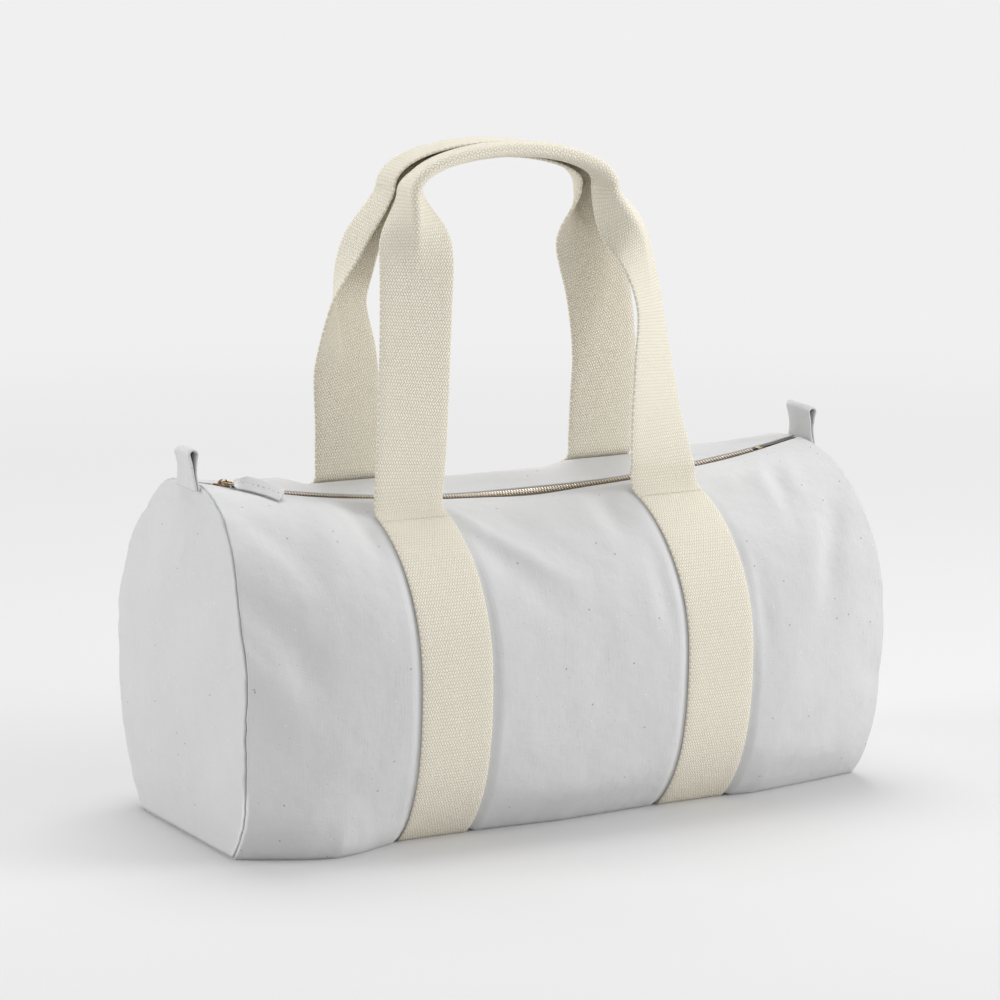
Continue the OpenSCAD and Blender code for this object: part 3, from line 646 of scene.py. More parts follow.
# %% Table of folds
# For each fold: side, half width, height and line
FOLDS = [
    # Left front panel: two slanting furrows from the seam, a hollow below them, and a fuller foot
    (-1, 12, -2.6, [(-230, -40, 226), (-208, -68, 211), (-198, -86, 195), (-186, -99, 172)]),
    (-1, 14, -3.6, [(-262, -74, 200), (-233, -95, 172), (-221, -103, 154), (-205, -110, 130),
                    (-192, -113, 98)]),
    (-1, 10, 1.0, [(-236, -50, 224), (-212, -78, 202), (-202, -93, 184), (-190, -104, 158)]),
    (-1, 14, 2.0, [(-262, -90, 166), (-230, -105, 126), (-203, -112, 94)]),
    (-1, 5, -1.4, [(-262, -86, 178), (-236, -102, 144), (-226, -105, 128)]),
    (-1, 24, -2.8, [(-262, -100, 116), (-224, -108, 76), (-196, -109, 50)]),
    (-1, 14, 3.4, [(-250, -94, 24), (-208, -102, 28), (-160, -106, 34)]),
    (-1, 12, 2.2, [(-164, -26, 222), (-170, -66, 209), (-172, -94, 184)]),
    (-1, 10, -2.4, [(-140, -24, 220), (-138, -58, 207), (-141, -86, 184)]),
    # Middle front panel: a long soft ridge from the left strap, and dents at the right strap
    (-1, 6, 3.0, [(-82, -30, 217), (-56, -70, 201), (-38, -85, 188), (-8, -102, 168)]),
    (-1, 13, -2.6, [(-82, -62, 208), (-54, -92, 184), (-30, -104, 166), (0, -112, 138)]),
    (-1, 11, -2.0, [(-44, -40, 212), (-18, -76, 194), (8, -94, 176)]),
    (-1, 8, -1.7, [(62, -84, 189), (59, -108, 158), (66, -117, 120)]),
    (-1, 8, 0.8, [(50, -94, 176), (49, -112, 145), (56, -117, 120)]),
    (-1, 9, -1.8, [(54, -28, 213), (47, -60, 203), (42, -84, 188)]),
    (-1, 10, 1.6, [(32, -30, 212), (30, -68, 200), (36, -94, 178)]),
    (-1, 17, 3.4, [(-76, -106, 36), (0, -104, 30), (70, -106, 36)]),
    # Right front panel: soft pleats below the zip, and a deep upright dent near the end
    (-1, 8, 1.8, [(188, -18, 223), (175, -50, 214), (170, -82, 194)]),
    (-1, 8, 1.6, [(208, -26, 224), (196, -56, 213), (189, -84, 192)]),
    (-1, 7, -1.4, [(196, -26, 223), (185, -54, 213), (180, -80, 196)]),
    (-1, 10, -3.3, [(228, -62, 206), (210, -90, 182), (199, -102, 160), (193, -112, 128)]),
    (-1, 10, 1.4, [(204, -72, 202), (187, -102, 164), (181, -113, 130)]),
    (-1, 9, -2.2, [(136, -94, 174), (135, -113, 140), (139, -118, 100)]),
    (-1, 16, 3.0, [(136, -106, 32), (190, -104, 30), (240, -98, 34)]),
    (-1, 10, -2.4, [(222, -104, 96), (240, -94, 80), (262, -86, 66)]),
    # Behind
    (1, 12, -3.2, [(76, 50, 218), (40, 84, 200), (6, 106, 166)]),
    (1, 10, 2.6, [(70, 74, 206), (30, 104, 176), (-4, 115, 132)]),
    (1, 12, -4.4, [(-262, 40, 222), (-214, 84, 186), (-190, 104, 146)]),
    (1, 12, -4.4, [(262, 40, 222), (216, 84, 184), (192, 106, 140)]),
    (1, 9, 2.6, [(-262, 80, 164), (-214, 104, 108), (-192, 106, 70)]),
    (1, 9, -3.0, [(262, 84, 156), (214, 104, 96), (196, 104, 58)]),
    (1, 10, -2.6, [(-64, 92, 186), (-40, 112, 150), (-28, 118, 106)]),
]
print(len(FOLDS), "folds")

# %% Relief and sag
# For each soft swell of the body and of an end: its place in the noise, its size and its height
BODY_SWELLS, END_SWELLS = ((200, 80, 1.8), (90, 30, 0.8)), ((60, 55, 2.4), (25, 20, 0.5))
# Small puckers beside the seams, and how far the front is drawn in at the left seam, by height
PUCKER_PITCH, PUCKER_FADE, DRAWN_REACH = 8.5, 9, 42
DRAWN_Z, DRAWN = [24, 63, 88, 114, 140, 165, 190, 212, 226], [0, 3.2, 3.5, 4.2, 6.6, 8, 7, 4.5, 1.5]


def swells(table, a, b, side):
    return sum(cloth_noise(a, b, side * place, size) * height for place, size, height in table)


def relief(x, k, side):
    """How far the canvas stands off the plain form, along its normal."""
    x, k = np.broadcast_arrays(np.asarray(x, float), np.asarray(k, float))
    g = girth(k)
    _, z = outline(x, k)
    swell = swells(BODY_SWELLS, x, g, side)
    for where, width, height, line in FOLDS:
        if where == side:
            swell = swell + fold(x, g, line, width, height)
    pucker = cloth_noise(7, g, side * 50 + np.sign(x) * 9, PUCKER_PITCH)
    swell = swell + pucker * 1.5 * np.exp(-np.maximum(seam_x(z) - np.abs(x), 0) / PUCKER_FADE)
    if side < 0:
        far = np.maximum(x + BAG_LEN / 2, 0)
        swell = swell - np.interp(z, DRAWN_Z, DRAWN) * np.exp(-(far / DRAWN_REACH) ** 1.5)
    calm = ease((k - 0.3) / 2.5) * (1 - ease((k - 14) / 1.8))
    band = np.exp(-(np.maximum(np.abs(np.abs(x) - STRAP_MID) - WEB_W / 2, 0) / 9) ** 2)
    return swell * calm * (1 - 0.8 * band)


# How far the foot of the front has spread over the floor, by x. Behind, it spreads at two places.
FOOT_X = [-243, -200, -181, -165, -124, -60, -5, 60, 120, 150, 190, 230]
FOOT_SPREAD = [0, 17, 21, 17, 0, 0, 4, 0, 0, 5, 2, 0]
FOOT_HEIGHT, BACK_SPREAD, BACK_FEET = 26, 9, ((181, 26), (-176, 24))


def sag(x, k, side):
    """How far slack canvas settles sideways over the floor, along y."""
    _, z = outline(x, k)
    low = np.exp(-(z / FOOT_HEIGHT) ** 2) * (1 - np.clip((k - SIDE_STEPS) / BASE_STEPS, 0, 1))
    if side < 0:
        return np.interp(x, FOOT_X, FOOT_SPREAD) * low
    return sum(BACK_SPREAD * np.exp(-((x - at) / wide) ** 2) for at, wide in BACK_FEET) * low


print("relief in the middle of the front", round(float(relief(0.0, 6.0, -1)), 2), "mm")

# %% Canvas as it lies
# Lean of the chain in degrees: everywhere, and how much more round one place along the zip
LEAN, LEAN_MORE, LEAN_X, LEAN_WIDE = 6, 19, 14, 50


def chain_tilt(x):
    """How far the closed chain leans towards the front, in radians. Flat at both ends."""
    lean = np.radians(LEAN + LEAN_MORE * np.exp(-((x - LEAN_X) / LEAN_WIDE) ** 2))
    return lean * ease((ARC_HALF - 34 - np.abs(x)) / 40)


DIP_REACH, LIFT_REACH, LIFT_SHARE = 26, 16, 0.75


def lip_lift(x):
    """How far the back edge of the canvas is raised by the leaning teeth."""
    return LIFT_SHARE * LIP_Y * np.sin(chain_tilt(x))


def lip_dip(x):
    """How far the front edge of the canvas has sunk beside the leaning teeth."""
    deep = 0.9 + 0.25 * np.sin(x / 13)
    return deep * ease((ARC_HALF - 8 - np.abs(x)) / 30) + LIP_Y * np.sin(chain_tilt(x))


def cloth(x, k, off, side, at=None):
    """Points of the canvas as it lies, off outside its surface, with the folds of x or of at."""
    x, k = np.broadcast_arrays(np.asarray(x, float), np.asarray(k, float))
    at = x if at is None else at
    p = skin(x, k, off + relief(at, k, side), side)
    p[..., 1] += side * sag(at, k, side)
    from_lip = np.abs(p[..., 1]) - LIP_Y
    if side < 0:
        p[..., 2] -= lip_dip(x) * (1 - ease(from_lip / DIP_REACH))
    else:
        p[..., 2] += lip_lift(x) * (1 - ease(from_lip / LIFT_REACH))
    return p


print("the front edge has sunk by", round(float(lip_dip(0.0)), 2), "mm at mid length")

# %% [markdown]
# ## End seams
# At an end seam two cloths meet edge to edge and both roll inwards to the hidden allowance. So each
# edge follows a small circle for more than a quarter turn. The two circles touch, which leaves the
# thin dark line of a real seam, and painted shadow darkens it further. Low on the left the
# allowance pushes the edge out, and a painted highlight makes it pale.

# %% Roll of the edges
ROLL_R, ROLL_AWAY, ROLL_ARC, ROLL_REACH = 1.0, 1.35, math.radians(150), 4.6


def rolled_edge(gap):
    """For cloth this far from the corner of a seam: its new distance from it, and its depth."""
    arc = ROLL_ARC * ROLL_R
    start = ROLL_AWAY + ROLL_R
    run = gap * (arc + ROLL_REACH - start) / ROLL_REACH
    angle = np.maximum(arc - run, 0) / ROLL_R
    away = np.where(run < arc, ROLL_AWAY + ROLL_R * (1 - np.sin(angle)), start + run - arc)
    return np.where(gap < ROLL_REACH, away, gap), ROLL_R * (1 - np.cos(angle))


# For the painted shadow in the seam and for the painted highlight on its edge: strength, distance
# from the corner and width
SHADOW, SEAM_HIGHLIGHT = (0.22, 1.1, 0.45), (0.8, 2.1, 0.6)


def seam_tone(gap, z, left):
    """How much painted shadow darkens the cloth this far from the corner, or, where negative, how
    much a painted highlight pales it.
    """
    # Low on the left the painted highlight takes the place of the painted shadow.
    pale = left * (1 - ease((z - 42) / 14)) * ease((z - 2) / 4)
    shadow, highlight_and_wear = (strength * np.exp(-((gap - at) / wide) ** 2)
                    for strength, at, wide in (SHADOW, SEAM_HIGHLIGHT))
    return shadow * (1 - pale) - highlight_and_wear * pale


print("an edge 0 mm from the corner moves to", [round(float(v), 2) for v in rolled_edge(0.0)])

# %% [markdown]
# ## Canvas body
# One rectangle of canvas, from the front edge of the zip, under the base, to the back edge.

# %% Canvas body
rows_side = np.concatenate([[0, 0.04, 0.09, 0.15, 0.22, 0.3, 0.4, 0.55],
                            np.linspace(0.75, SIDE_STEPS, 68)])
rows_base = np.linspace(SIDE_STEPS, HALF_STEPS, 9)[1:]
half_rows = np.concatenate([rows_side, rows_base])
round_k = np.concatenate([half_rows, half_rows[-2::-1]])
round_side = np.concatenate([np.ones(len(half_rows)), -np.ones(len(half_rows) - 1)])
edge_gaps = np.array([0, 0.4, 0.8, 1.2, 1.6, 2.0, 2.4, 2.9, 3.6, 4.6, 6.2, 8.6])
# Columns near an end are given by their distance from its seam, the others by their share of x
BETWEEN, NOT_NEAR = 191, 99
body_u = np.concatenate([edge_gaps, np.linspace(-0.955, 0.955, BETWEEN), edge_gaps[::-1]])
body_end = np.repeat([-1, 0, 1], [len(edge_gaps), BETWEEN, len(edge_gaps)])


def body_points(u, end, k, side):
    _, z = outline(np.where(end == 0, u, end) * BAG_LEN / 2, k)
    away, depth = rolled_edge(np.where(end == 0, NOT_NEAR, u))
    x = np.where(end == 0, u * seam_x(z), end * (seam_x(z) - away))
    p = cloth(x, k, -np.where(end == 0, 0, depth), side, np.where(
        end == 0, x, end * (seam_x(z) - np.maximum(away, 1.5))))
    p[..., 2] = np.maximum(p[..., 2], 0)
    return p


uu, kk = np.meshgrid(body_u, round_k)
ee = np.meshgrid(body_end, round_k)[0]
body_grid = np.where((round_side > 0)[:, None, None], body_points(uu, ee, kk, 1),
                     body_points(uu, ee, kk, -1))
run = lengths(body_grid)
run = run - run[len(half_rows) - 1]
body_uv = np.stack([body_grid[..., 0], run], axis=-1)
body_mesh = grid_mesh("canvas_body", body_grid, body_uv,
                      seam_tone(np.where(ee == 0, NOT_NEAR, uu), body_grid[..., 2], ee < 0))
thicken(add_piece("canvas_body", body_mesh, canvas, "canvas", "body_panel"))
print("canvas body:", len(body_mesh.polygons), "faces, girth",
      round(float(run[-1].max() - run[0].min())), "mm")

# %% [markdown]
# ## End panels
# Each end is a rounded panel that bulges a little. Its edge rolls in beside the edge of the body.

# %% End panels
def nearest_edge(points, rim):
    """For points of an end panel: distance to its rim, and the way from there to the inside."""
    steps = np.linspace(0, 1, 800)
    edge = np.stack([np.interp(steps, np.linspace(0, 1, len(rim)), rim[:, i]) for i in (0, 1)], -1)
    ahead = np.gradient(edge, axis=0)
    inside = unit(np.stack([-ahead[:, 1], ahead[:, 0]], axis=-1))
    inside = inside * np.sign(np.sum(inside * (edge.mean(axis=0) - edge), -1, keepdims=True))
    nearest = np.linalg.norm(points[:, :, None, :] - edge, axis=-1).argmin(axis=-1)
    way = inside[nearest]
    return np.maximum(np.sum((points - edge[nearest]) * way, axis=-1), 0), way


def end_points(end):
    """Grid of an end panel: rows down the side outline, columns from the front to the back."""
    ks = np.linspace(0, SIDE_STEPS, 97)
    inset = np.array([0, 0.35, 0.7, 1.05, 1.4, 1.8, 2.3, 3.0, 3.9, 5.0, 6.6, 8.8]) / 100
    cs = np.concatenate([1 - inset, np.linspace(0.88, -0.88, 41), inset[::-1] - 1])
    out = []
    for c in cs:
        side = -1 if c > 0 else 1
        _, z = outline(end * BAG_LEN / 2, ks)
        x = end * seam_x(z)
        p = cloth(x, ks, 0.0, side, x - end * 1.5)
        mid = skin(x, ks, 0.0, side)
        a = abs(c)
        high = p[:, 2] / top_z(x)
        puff = END_BULGE * (1 - c * c) * 4 * high * (1 - high)
        out.append(np.stack([p[:, 0] + end * puff, p[:, 1] * a, mix(mid[:, 2], p[:, 2], a)], -1))
    grid = np.stack(out, axis=1)
    rim = np.concatenate([grid[::-1, 0], grid[0, 1:-1], grid[:, -1], grid[-1, -2:0:-1]])
    gap, way = nearest_edge(grid[..., 1:], rim[:, 1:])
    soft = swells(END_SWELLS, grid[..., 1], grid[..., 2], end)
    pucker = (cloth_noise(grid[..., 2], 3, end * 5, PUCKER_PITCH) * 1.1
              * np.exp(-gap / PUCKER_FADE) * ease(gap / 4))
    away, depth = rolled_edge(gap)
    grid[..., 0] += end * (soft * ease(gap / 30) + pucker - depth)
    grid[..., 1:] += way * (away - gap)[..., None]
    grid[..., 2] = np.maximum(grid[..., 2], 0)
    return grid, gap


for end, label in ENDS:
    grid, gap = end_points(end)
    if end > 0:
        grid, gap = grid[:, ::-1], gap[:, ::-1]
    uv = np.stack([-end * grid[..., 1], grid[..., 2]], axis=-1)
    name = "canvas_end_" + label
    mesh = grid_mesh(name, grid, uv, seam_tone(gap, grid[..., 2], end < 0))
    thicken(add_piece(name, mesh, canvas, "canvas", label + "_end_panel"))
    middle = mesh.polygons[len(mesh.polygons) // 2]
    print(name, "faces", len(mesh.polygons), "normal", [round(v, 2) for v in middle.normal])

# %% [markdown]
# ## Bound seams inside
# The seam allowance stands inwards behind each end seam, wrapped in a folded binding.

# %% Seam bindings
BINDING_T, BINDING_INSET = 2.4, 2.4
ALLOWANCE = np.array([0, 1.5, 3, 4.5, 6, 7.5, 9])

for end, label in ENDS:
    rows = []
    for side, ks in ((1, half_rows), (-1, half_rows[-2::-1])):
        _, z = outline(end * BAG_LEN / 2, ks)
        at = end * (seam_x(z) - CANVAS_T - SEAM_GAP)
        rows.append(np.stack([cloth(at - end * BINDING_INSET, ks, -2 * CANVAS_T - 2 * TAPE_T - d,
                                    side, at) for d in ALLOWANCE], axis=1))
    grid = np.concatenate(rows)
    wave = cloth_noise(run[:, :1], ALLOWANCE, end, 14)
    grid[..., 0] += wave * ALLOWANCE / ALLOWANCE[-1] * 1.2
    name = "seam_binding_" + label
    add_band(name, grid, BINDING_T, shade_dark_tape, "zip_tape", label + "_seam_binding")
    print(name, "follows the seam in", len(grid), "rows")

# %% [markdown]
# ## Straps
# Two bands of 50 mm webbing run round the body, from the stitching at the back to the one in front.
# They draw the canvas in under them.

# %% Straps
def k_where_y(x, y):
    low, high = 0.0, float(SIDE_STEPS)
    for _ in range(40):
        k = (low + high) / 2
        low, high = (k, high) if float(outline(x, k)[0]) < y else (low, k)
    return (low + high) / 2


FOOT_LAP = 9
HINGE_K = k_where_y(STRAP_MID, STITCH_Y - WEB_T / 2)
FOOT_K = k_where_y(STRAP_MID, STITCH_Y + FOOT_LAP)
HINGE_Z = float(skin(STRAP_MID, HINGE_K, 0, -1)[2]) + LAY_GAP + WEB_T + RUN_GAP + WEB_T / 2
STRAP_END_X = float(STRAP_PITCH / BAG_LEN * seam_x(outline(STRAP_MID, HINGE_K)[1]))


def strap_points(end, ks, side, off):
    """Strips of points across a strap, at the given steps round the body."""
    _, z = outline(end * STRAP_MID, ks)
    middle = end * STRAP_PITCH / BAG_LEN * seam_x(z)
    across = np.linspace(-WEB_W / 2, WEB_W / 2, 13)
    return cloth(middle[:, None] + across, ks[:, None], off, side)


for end, label in ENDS:
    side_ks = np.concatenate([np.linspace(FOOT_K, SIDE_STEPS, 70),
                              np.linspace(SIDE_STEPS, HALF_STEPS, 9)[1:]])
    level = LAY_GAP + WEB_T / 2
    grid = np.concatenate([strap_points(end, side_ks, 1, level),
                           strap_points(end, side_ks[-2::-1], -1, level)])
    grid[..., 2] = np.maximum(grid[..., 2], WEB_T / 2)
    add_band("webbing_strap_" + label, grid, WEB_T, webbing, "webbing", label + "_strap")
print("hinge line", round(HINGE_Z, 2), "mm high; strap ends at x =", round(STRAP_END_X, 2))

# %% [markdown]
# ## Carrying handles
# Each handle is the same webbing, standing up from the stitching. It is flat at its feet. On the
# arch it is folded lengthwise, with the fold outwards, and the two handles lie side by side.

# %% Handle path
LEG_HEIGHTS = [0, 0.2, 0.4, 0.62, 0.82, 1]
LEG_BACKS = [0, 0.18, 0.42, 0.66, 0.86, 1]
# For each handle its lean, its tilt, and tables of shares for its left and its right leg
FRONT = {"lean": FRONT_LEAN, "tilt": FRONT_TILT,
         "leans": ([0, 0.28, 0.58, 0.85, 1.05, 1], [0, 0.08, 0.06, 0.04, 0.3, 1]),
         "twists": ([0, 0.03, 0.05, 0.08, 0.15, 0.2], [0, 0.18, 0.33, 0.45, 0.33, -0.08]),
         "folds": ([0, 0, 0, 0, 0.12, 0.88], [0, 0, 0, 0.04, 0.3, 0.9])}
BACK = {"lean": BACK_LEAN, "tilt": BACK_TILT,
        "leans": ([0, -0.2, -0.6, -1, -0.4, 1], [0, 0.06, 0.15, 0.44, 0.83, 1]),
        "twists": ([0, 0.02, 0.08, 0.36, 0.35, 0.1], [0, 0, 0, 0, 0.02, 0.05]),
        "folds": ([0, 0, 0.02, 0.28, 0.85, 1], [0, 0, 0, 0, 0.04, 0.88])}


def along(table, t):
    """Value of a table of shares at t, on a smooth curve through its entries."""
    i = max(j for j in range(len(table) - 1) if j == 0 or t > LEG_HEIGHTS[j])
    a, b, c, d = (table[min(max(j, 0), len(table) - 1)] for j in (i - 1, i, i + 1, i + 2))
    s = min(max((t - LEG_HEIGHTS[i]) / (LEG_HEIGHTS[i + 1] - LEG_HEIGHTS[i]), 0), 1)
    return 0.5 * (2 * b + (c - a) * s + (2 * a - 5 * b + 4 * c - d) * s * s
                  + (3 * b - a - 3 * c + d) * s ** 3)


def fold_depth(a):
    return FOLD_R * (1 - math.cos(a)) + (WEB_W / 2 - FOLD_R * a) * math.sin(a)


def fold_section(shares, a):
    """The folded webbing at these places across it: how far sideways, and how far backwards."""
    s = np.asarray(shares) * WEB_W / 2
    b = np.minimum(np.abs(s) / FOLD_R, a)
    flat = np.maximum(0, np.abs(s) - FOLD_R * a)
    return (np.sign(s) * (FOLD_R * np.sin(b) + flat * math.cos(a)),
            FOLD_R * (1 - np.cos(b)) + flat * math.sin(a) - fold_depth(a) / 2)


print("folded on the arch, the webbing is", round(fold_depth(FOLD_TURN), 1), "mm deep")

# %% Legs, arch and feet
ARCH_Y = (fold_depth(FOLD_TURN) + WEB_T + ARCH_GAP) / 2
ARCH_Z = END_H - ZIP_SAG + HANDLE_H


def arch_start_z(end, tilt):
    return ARCH_Z - ARCH_RISE - end * tilt / 2


def leg_point(end, h, foot_z, t):
    return np.array([mix(end * STRAP_END_X, end * SHOULDER_SPAN / 2 - h["lean"],
                         along(h["leans"][end > 0], t)),
                     -mix(STITCH_Y, ARCH_Y, along(LEG_BACKS, t)),
                     mix(foot_z, arch_start_z(end, h["tilt"]), t)])


def arch_point(h, t):
    return np.array([-SHOULDER_SPAN / 2 * math.cos(math.pi * t) - h["lean"], -ARCH_Y,
                     mix(arch_start_z(-1, h["tilt"]), arch_start_z(1, h["tilt"]), t)
                     + ARCH_RISE * max(math.sin(math.pi * t), 0) ** 0.9])


def foot_curve(end, target, tangent, side, n=16):
    """From the strap's end to the standing leg: along the canvas, then up in a tight bend."""
    ks = np.linspace(FOOT_K, k_where_y(STRAP_MID, STITCH_Y + 6), 6)
    base = skin(end * STRAP_END_X, ks, LAY_GAP + WEB_T / 2, side)
    base[:, 1] = -np.abs(base[:, 1])
    p0, p3 = base[-1], target
    t0 = unit(base[-1] - base[-2])
    reach = np.linalg.norm(p3 - p0) * 0.5
    p1, p2 = p0 + t0 * reach, p3 - tangent * reach * 0.9
    s = np.linspace(0, 1, n)[1:, None]
    bend = (1 - s) ** 3 * p0 + 3 * (1 - s) ** 2 * s * p1 + 3 * (1 - s) * s * s * p2 + s ** 3 * p3
    return np.concatenate([base, bend])


print("arch from z =", ARCH_Z - ARCH_RISE, "to", ARCH_Z, "mm")

# %% [markdown]
# ## Handles
# Points are laid across the path of each handle, turned by the twist of the webbing and folded.
# Each handle is one mesh, which takes the place of the model's handle.

# %% Handles
ACROSS = np.array([1, 0.8, 0.6, 0.4, 0.28, 0.21, 0.16, 0.11, 0.05])
ACROSS = np.concatenate([ACROSS, [0], -ACROSS[::-1]])


def handle_grid(side, h):
    """Points of a handle, worked out at negative y and mirrored for the back one."""
    foot_z = HINGE_Z + (BACK_RISE if side > 0 else 0)
    leg_t = np.linspace(0, 1, 60)
    leg_t = leg_t[leg_t * (arch_start_z(1, h["tilt"]) - foot_z) > 11]
    legs = []
    for end in (-1, 1):
        leg = np.array([leg_point(end, h, foot_z, t) for t in leg_t])
        foot = foot_curve(end, leg[0], unit(leg[1] - leg[0]), side)
        legs.append(np.concatenate([foot[:-1], leg]))
    foot_n = len(legs[0]) - len(leg_t)
    ts = np.concatenate([np.zeros(foot_n), leg_t])
    arch_t = np.linspace(0, 1, 70)[1:-1]
    path = np.concatenate([legs[0], [arch_point(h, t) for t in arch_t], legs[1][::-1]])
    last = len(path) - 1
    twists = [[along(table, t) for t in ts] for table in h["twists"]]
    folds = [[along(table, t) for t in ts] for table in h["folds"]]
    ends = np.where(arch_t < 0.5, folds[0][-1], folds[1][-1])
    closing = 1 - (1 - ends) * (1 - ease(np.minimum(arch_t, 1 - arch_t) / 0.15))
    turns = np.concatenate([twists[0], mix(twists[0][-1], twists[1][-1], arch_t), twists[1][::-1]])
    closed = np.concatenate([folds[0], closing, folds[1][::-1]])
    rows = []
    for i, p in enumerate(path):
        ahead = unit(path[min(last, i + 1)] - path[max(0, i - 1)])
        flat = np.array([1.0 if i < last / 2 else -1.0, 0, 0])
        free = ease((min(i, last - i) - foot_n + 8) / 20)
        level = unit(np.cross([0, 1.0, 0], ahead)) if free > 0 else flat
        level = unit(mix(flat, level, free))
        turn = turns[i] * math.pi / 2
        across = level * math.cos(turn) - unit(np.cross(ahead, level)) * math.sin(turn)
        face = np.cross(across, ahead)
        sideways, backwards = fold_section(ACROSS, FOLD_TURN * max(closed[i], 0))
        rows.append(p + across * sideways[:, None] - face * backwards[:, None])
    grid = np.array(rows)
    if side > 0:
        grid[..., 1] *= -1
    return grid


for (side, label), h in zip(SIDES, (FRONT, BACK)):
    grid = handle_grid(side, h)
    body = label + "_handle"
    name = "webbing_handle_" + label
    piece = add_object(name, ribbon(name, grid, WEB_T))
    dress(piece, webbing)
    y, z = side * STITCH_Y, HINGE_Z + (BACK_RISE if side > 0 else 0)
    y * MM
    (z - 0.5) * MM
    y * MM
    (z + 15) * MM
    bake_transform(piece)
    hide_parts(body)


# %% [markdown]
# ## Zip
# Two tapes lie under the edges of the canvas and carry the teeth. Near the teeth they lean with the
# chain, and further out they follow the canvas.

# %% Zip tapes
def on_arc(a, x, y, z):
    """A point given in the frame of the zip's arc at the angle a, in radians."""
    r = ARC_R - z
    return np.stack([ARC_X + r * np.sin(a) + x * np.cos(a),
                     y + 0 * a, ARC_Z - r * np.cos(a) + x * np.sin(a)], axis=-1)


GRIPPED = 4.1


def zip_tape(side):
    a0, a1 = (math.asin((end * (ARC_HALF - TAPE_T) - ARC_X) / ARC_R) for end in (-1, 1))
    a = np.linspace(a0, a1, 181)[:, None]
    x = ARC_X + ARC_R * np.sin(a)
    ys = np.array([1.9, 2.6, 3.4, GRIPPED, 4.9, 6.5, 9, 11.5, 13.7])
    inner = 1 - ease((ys - GRIPPED) / 2.4)
    drop = np.clip((ys - LIP_Y) / (TAPE_W - LIP_Y), 0, 1) * TAPE_DROP
    if side < 0:
        drop = drop + np.clip((ys - GRIPPED) / 0.8, 0, 1) * lip_dip(x)
    else:
        drop = drop - (1 - inner) * lip_lift(x)
    lean = chain_tilt(x)
    y, z = side * ys * np.cos(lean * inner), side * ys * np.sin(lean) * inner - drop
    return on_arc(a + 0 * ys, 0, y, z)


# The tapes are dark as painted shade between the teeth.
for side, label in SIDES:
    add_band("tape_" + label, zip_tape(side), TAPE_T, shade_dark_tape, "zip_tape", label + "_zip_tape")
print("tapes from x =", round(TAPE_T - ARC_HALF, 1), "to", round(ARC_HALF - TAPE_T, 1))

# %% [markdown]
# ## Metal parts
# The stops, the slider and the ring are exact parts of the model and stay as they are, with fine
# bevels and aged brass. The teeth are a merged copy of the model's, turned a little about the line
# of the chain. They lean to the front in the middle, where the photograph shows tops and ends.

# %% Metal parts
def leaning_teeth(node):
    """A copy of one of the model's rows of teeth that leans with the chain."""
    mesh = bpy.data.objects[node].data.copy()
    bm = bmesh.new()
    bm.from_mesh(mesh)
    bmesh.ops.remove_doubles(bm, verts=bm.verts, dist=1e-6)
    p = np.array([v.co[:] for v in bm.verts]) / MM
    a = np.arctan2(p[:, 0] - ARC_X, ARC_Z - p[:, 2])
    z = ARC_R - np.hypot(p[:, 0] - ARC_X, ARC_Z - p[:, 2])
    lean = chain_tilt(ARC_X + ARC_R * np.sin(a))
    y, z = p[:, 1] * np.cos(lean) - z * np.sin(lean), z * np.cos(lean) + p[:, 1] * np.sin(lean)
    for v, co in zip(bm.verts, on_arc(a, 0, y, z) * MM):
        v.co = co
    bm.to_mesh(mesh)
    bm.free()
    return mesh


def wear_edges(piece, bevel):
    edges = piece.modifiers.new("worn edges", "BEVEL")
    edges.width = bevel * MM
    edges.segments = 2
    edges.limit_method = "ANGLE"
    print(piece.name, len(piece.data.polygons), "faces")


for _, label in SIDES:
    node = label + "_zip_teeth"
    teeth = add_piece("teeth_" + label, leaning_teeth(node), teeth_brass, "brass", node)
    wear_edges(teeth, 0.12)
for node, bevel in (("zip_top_stops", 0.15), ("zip_bottom_stop", 0.15), ("slider_body", 0.18),
                    ("pull_ring", 0)):
    dress(bpy.data.objects[node], aged_brass)
    wear_edges(bpy.data.objects[node], bevel)

# %% [markdown]
# ## Canvas pull
# A strip of canvas folded round the far bar of the ring and stitched along its middle. It twists
# until its face looks to the front, rests on its lower edge, and its lower layer stands off there.

# %% Canvas pull
BAIL_X, BAIL_Z = SLIDER_LEN * 0.07, 4.075
SLIDER_A = math.asin((SLIDER_INSET - ARC_HALF - ARC_X) / ARC_R)
PULL_T, LAYERS_APART, RING_WIRE_R = 0.85, 0.52, 0.65
yaw = math.radians(PULL_YAW)


def at_ring(points):
    """From the frame of the ring, x along the pull, to the bag."""
    p = np.asarray(points, float)
    x = p[..., 0] * math.cos(yaw) + p[..., 1] * math.sin(yaw) + BAIL_X
    y = -p[..., 0] * math.sin(yaw) + p[..., 1] * math.cos(yaw)
    return on_arc(np.full(x.shape, SLIDER_A), x, y, p[..., 2] + BAIL_Z)


# Along the pull: its turn in degrees at these shares, and its lift in mm
TURN_T, TURN = [0, 0.04, 0.1, 0.18, 0.45, 1], [16, 20, 32, 38, 37, 30]
LIFT_T, LIFT = [0, 0.06, 0.18, 0.4, 0.7, 1], [0, 0.5, 1.5, 1.6, 0.6, -1.3]


def twisted(points):
    """The flat pull, x from the bar of the ring, as it hangs: twisted, and bent over the canvas."""
    x, y, z = (np.asarray(points, float)[..., i] for i in range(3))
    t = np.clip(x / PULL_LEN, 0, 1)
    turn, lift = np.radians(np.interp(t, TURN_T, TURN)), np.interp(t, LIFT_T, LIFT)
    ahead = -4.5 * t ** 1.6
    return at_ring(np.stack([RING_LEN + x, y * np.cos(turn) - z * np.sin(turn) + ahead,
                             z * np.cos(turn) + y * np.sin(turn) + lift], axis=-1))


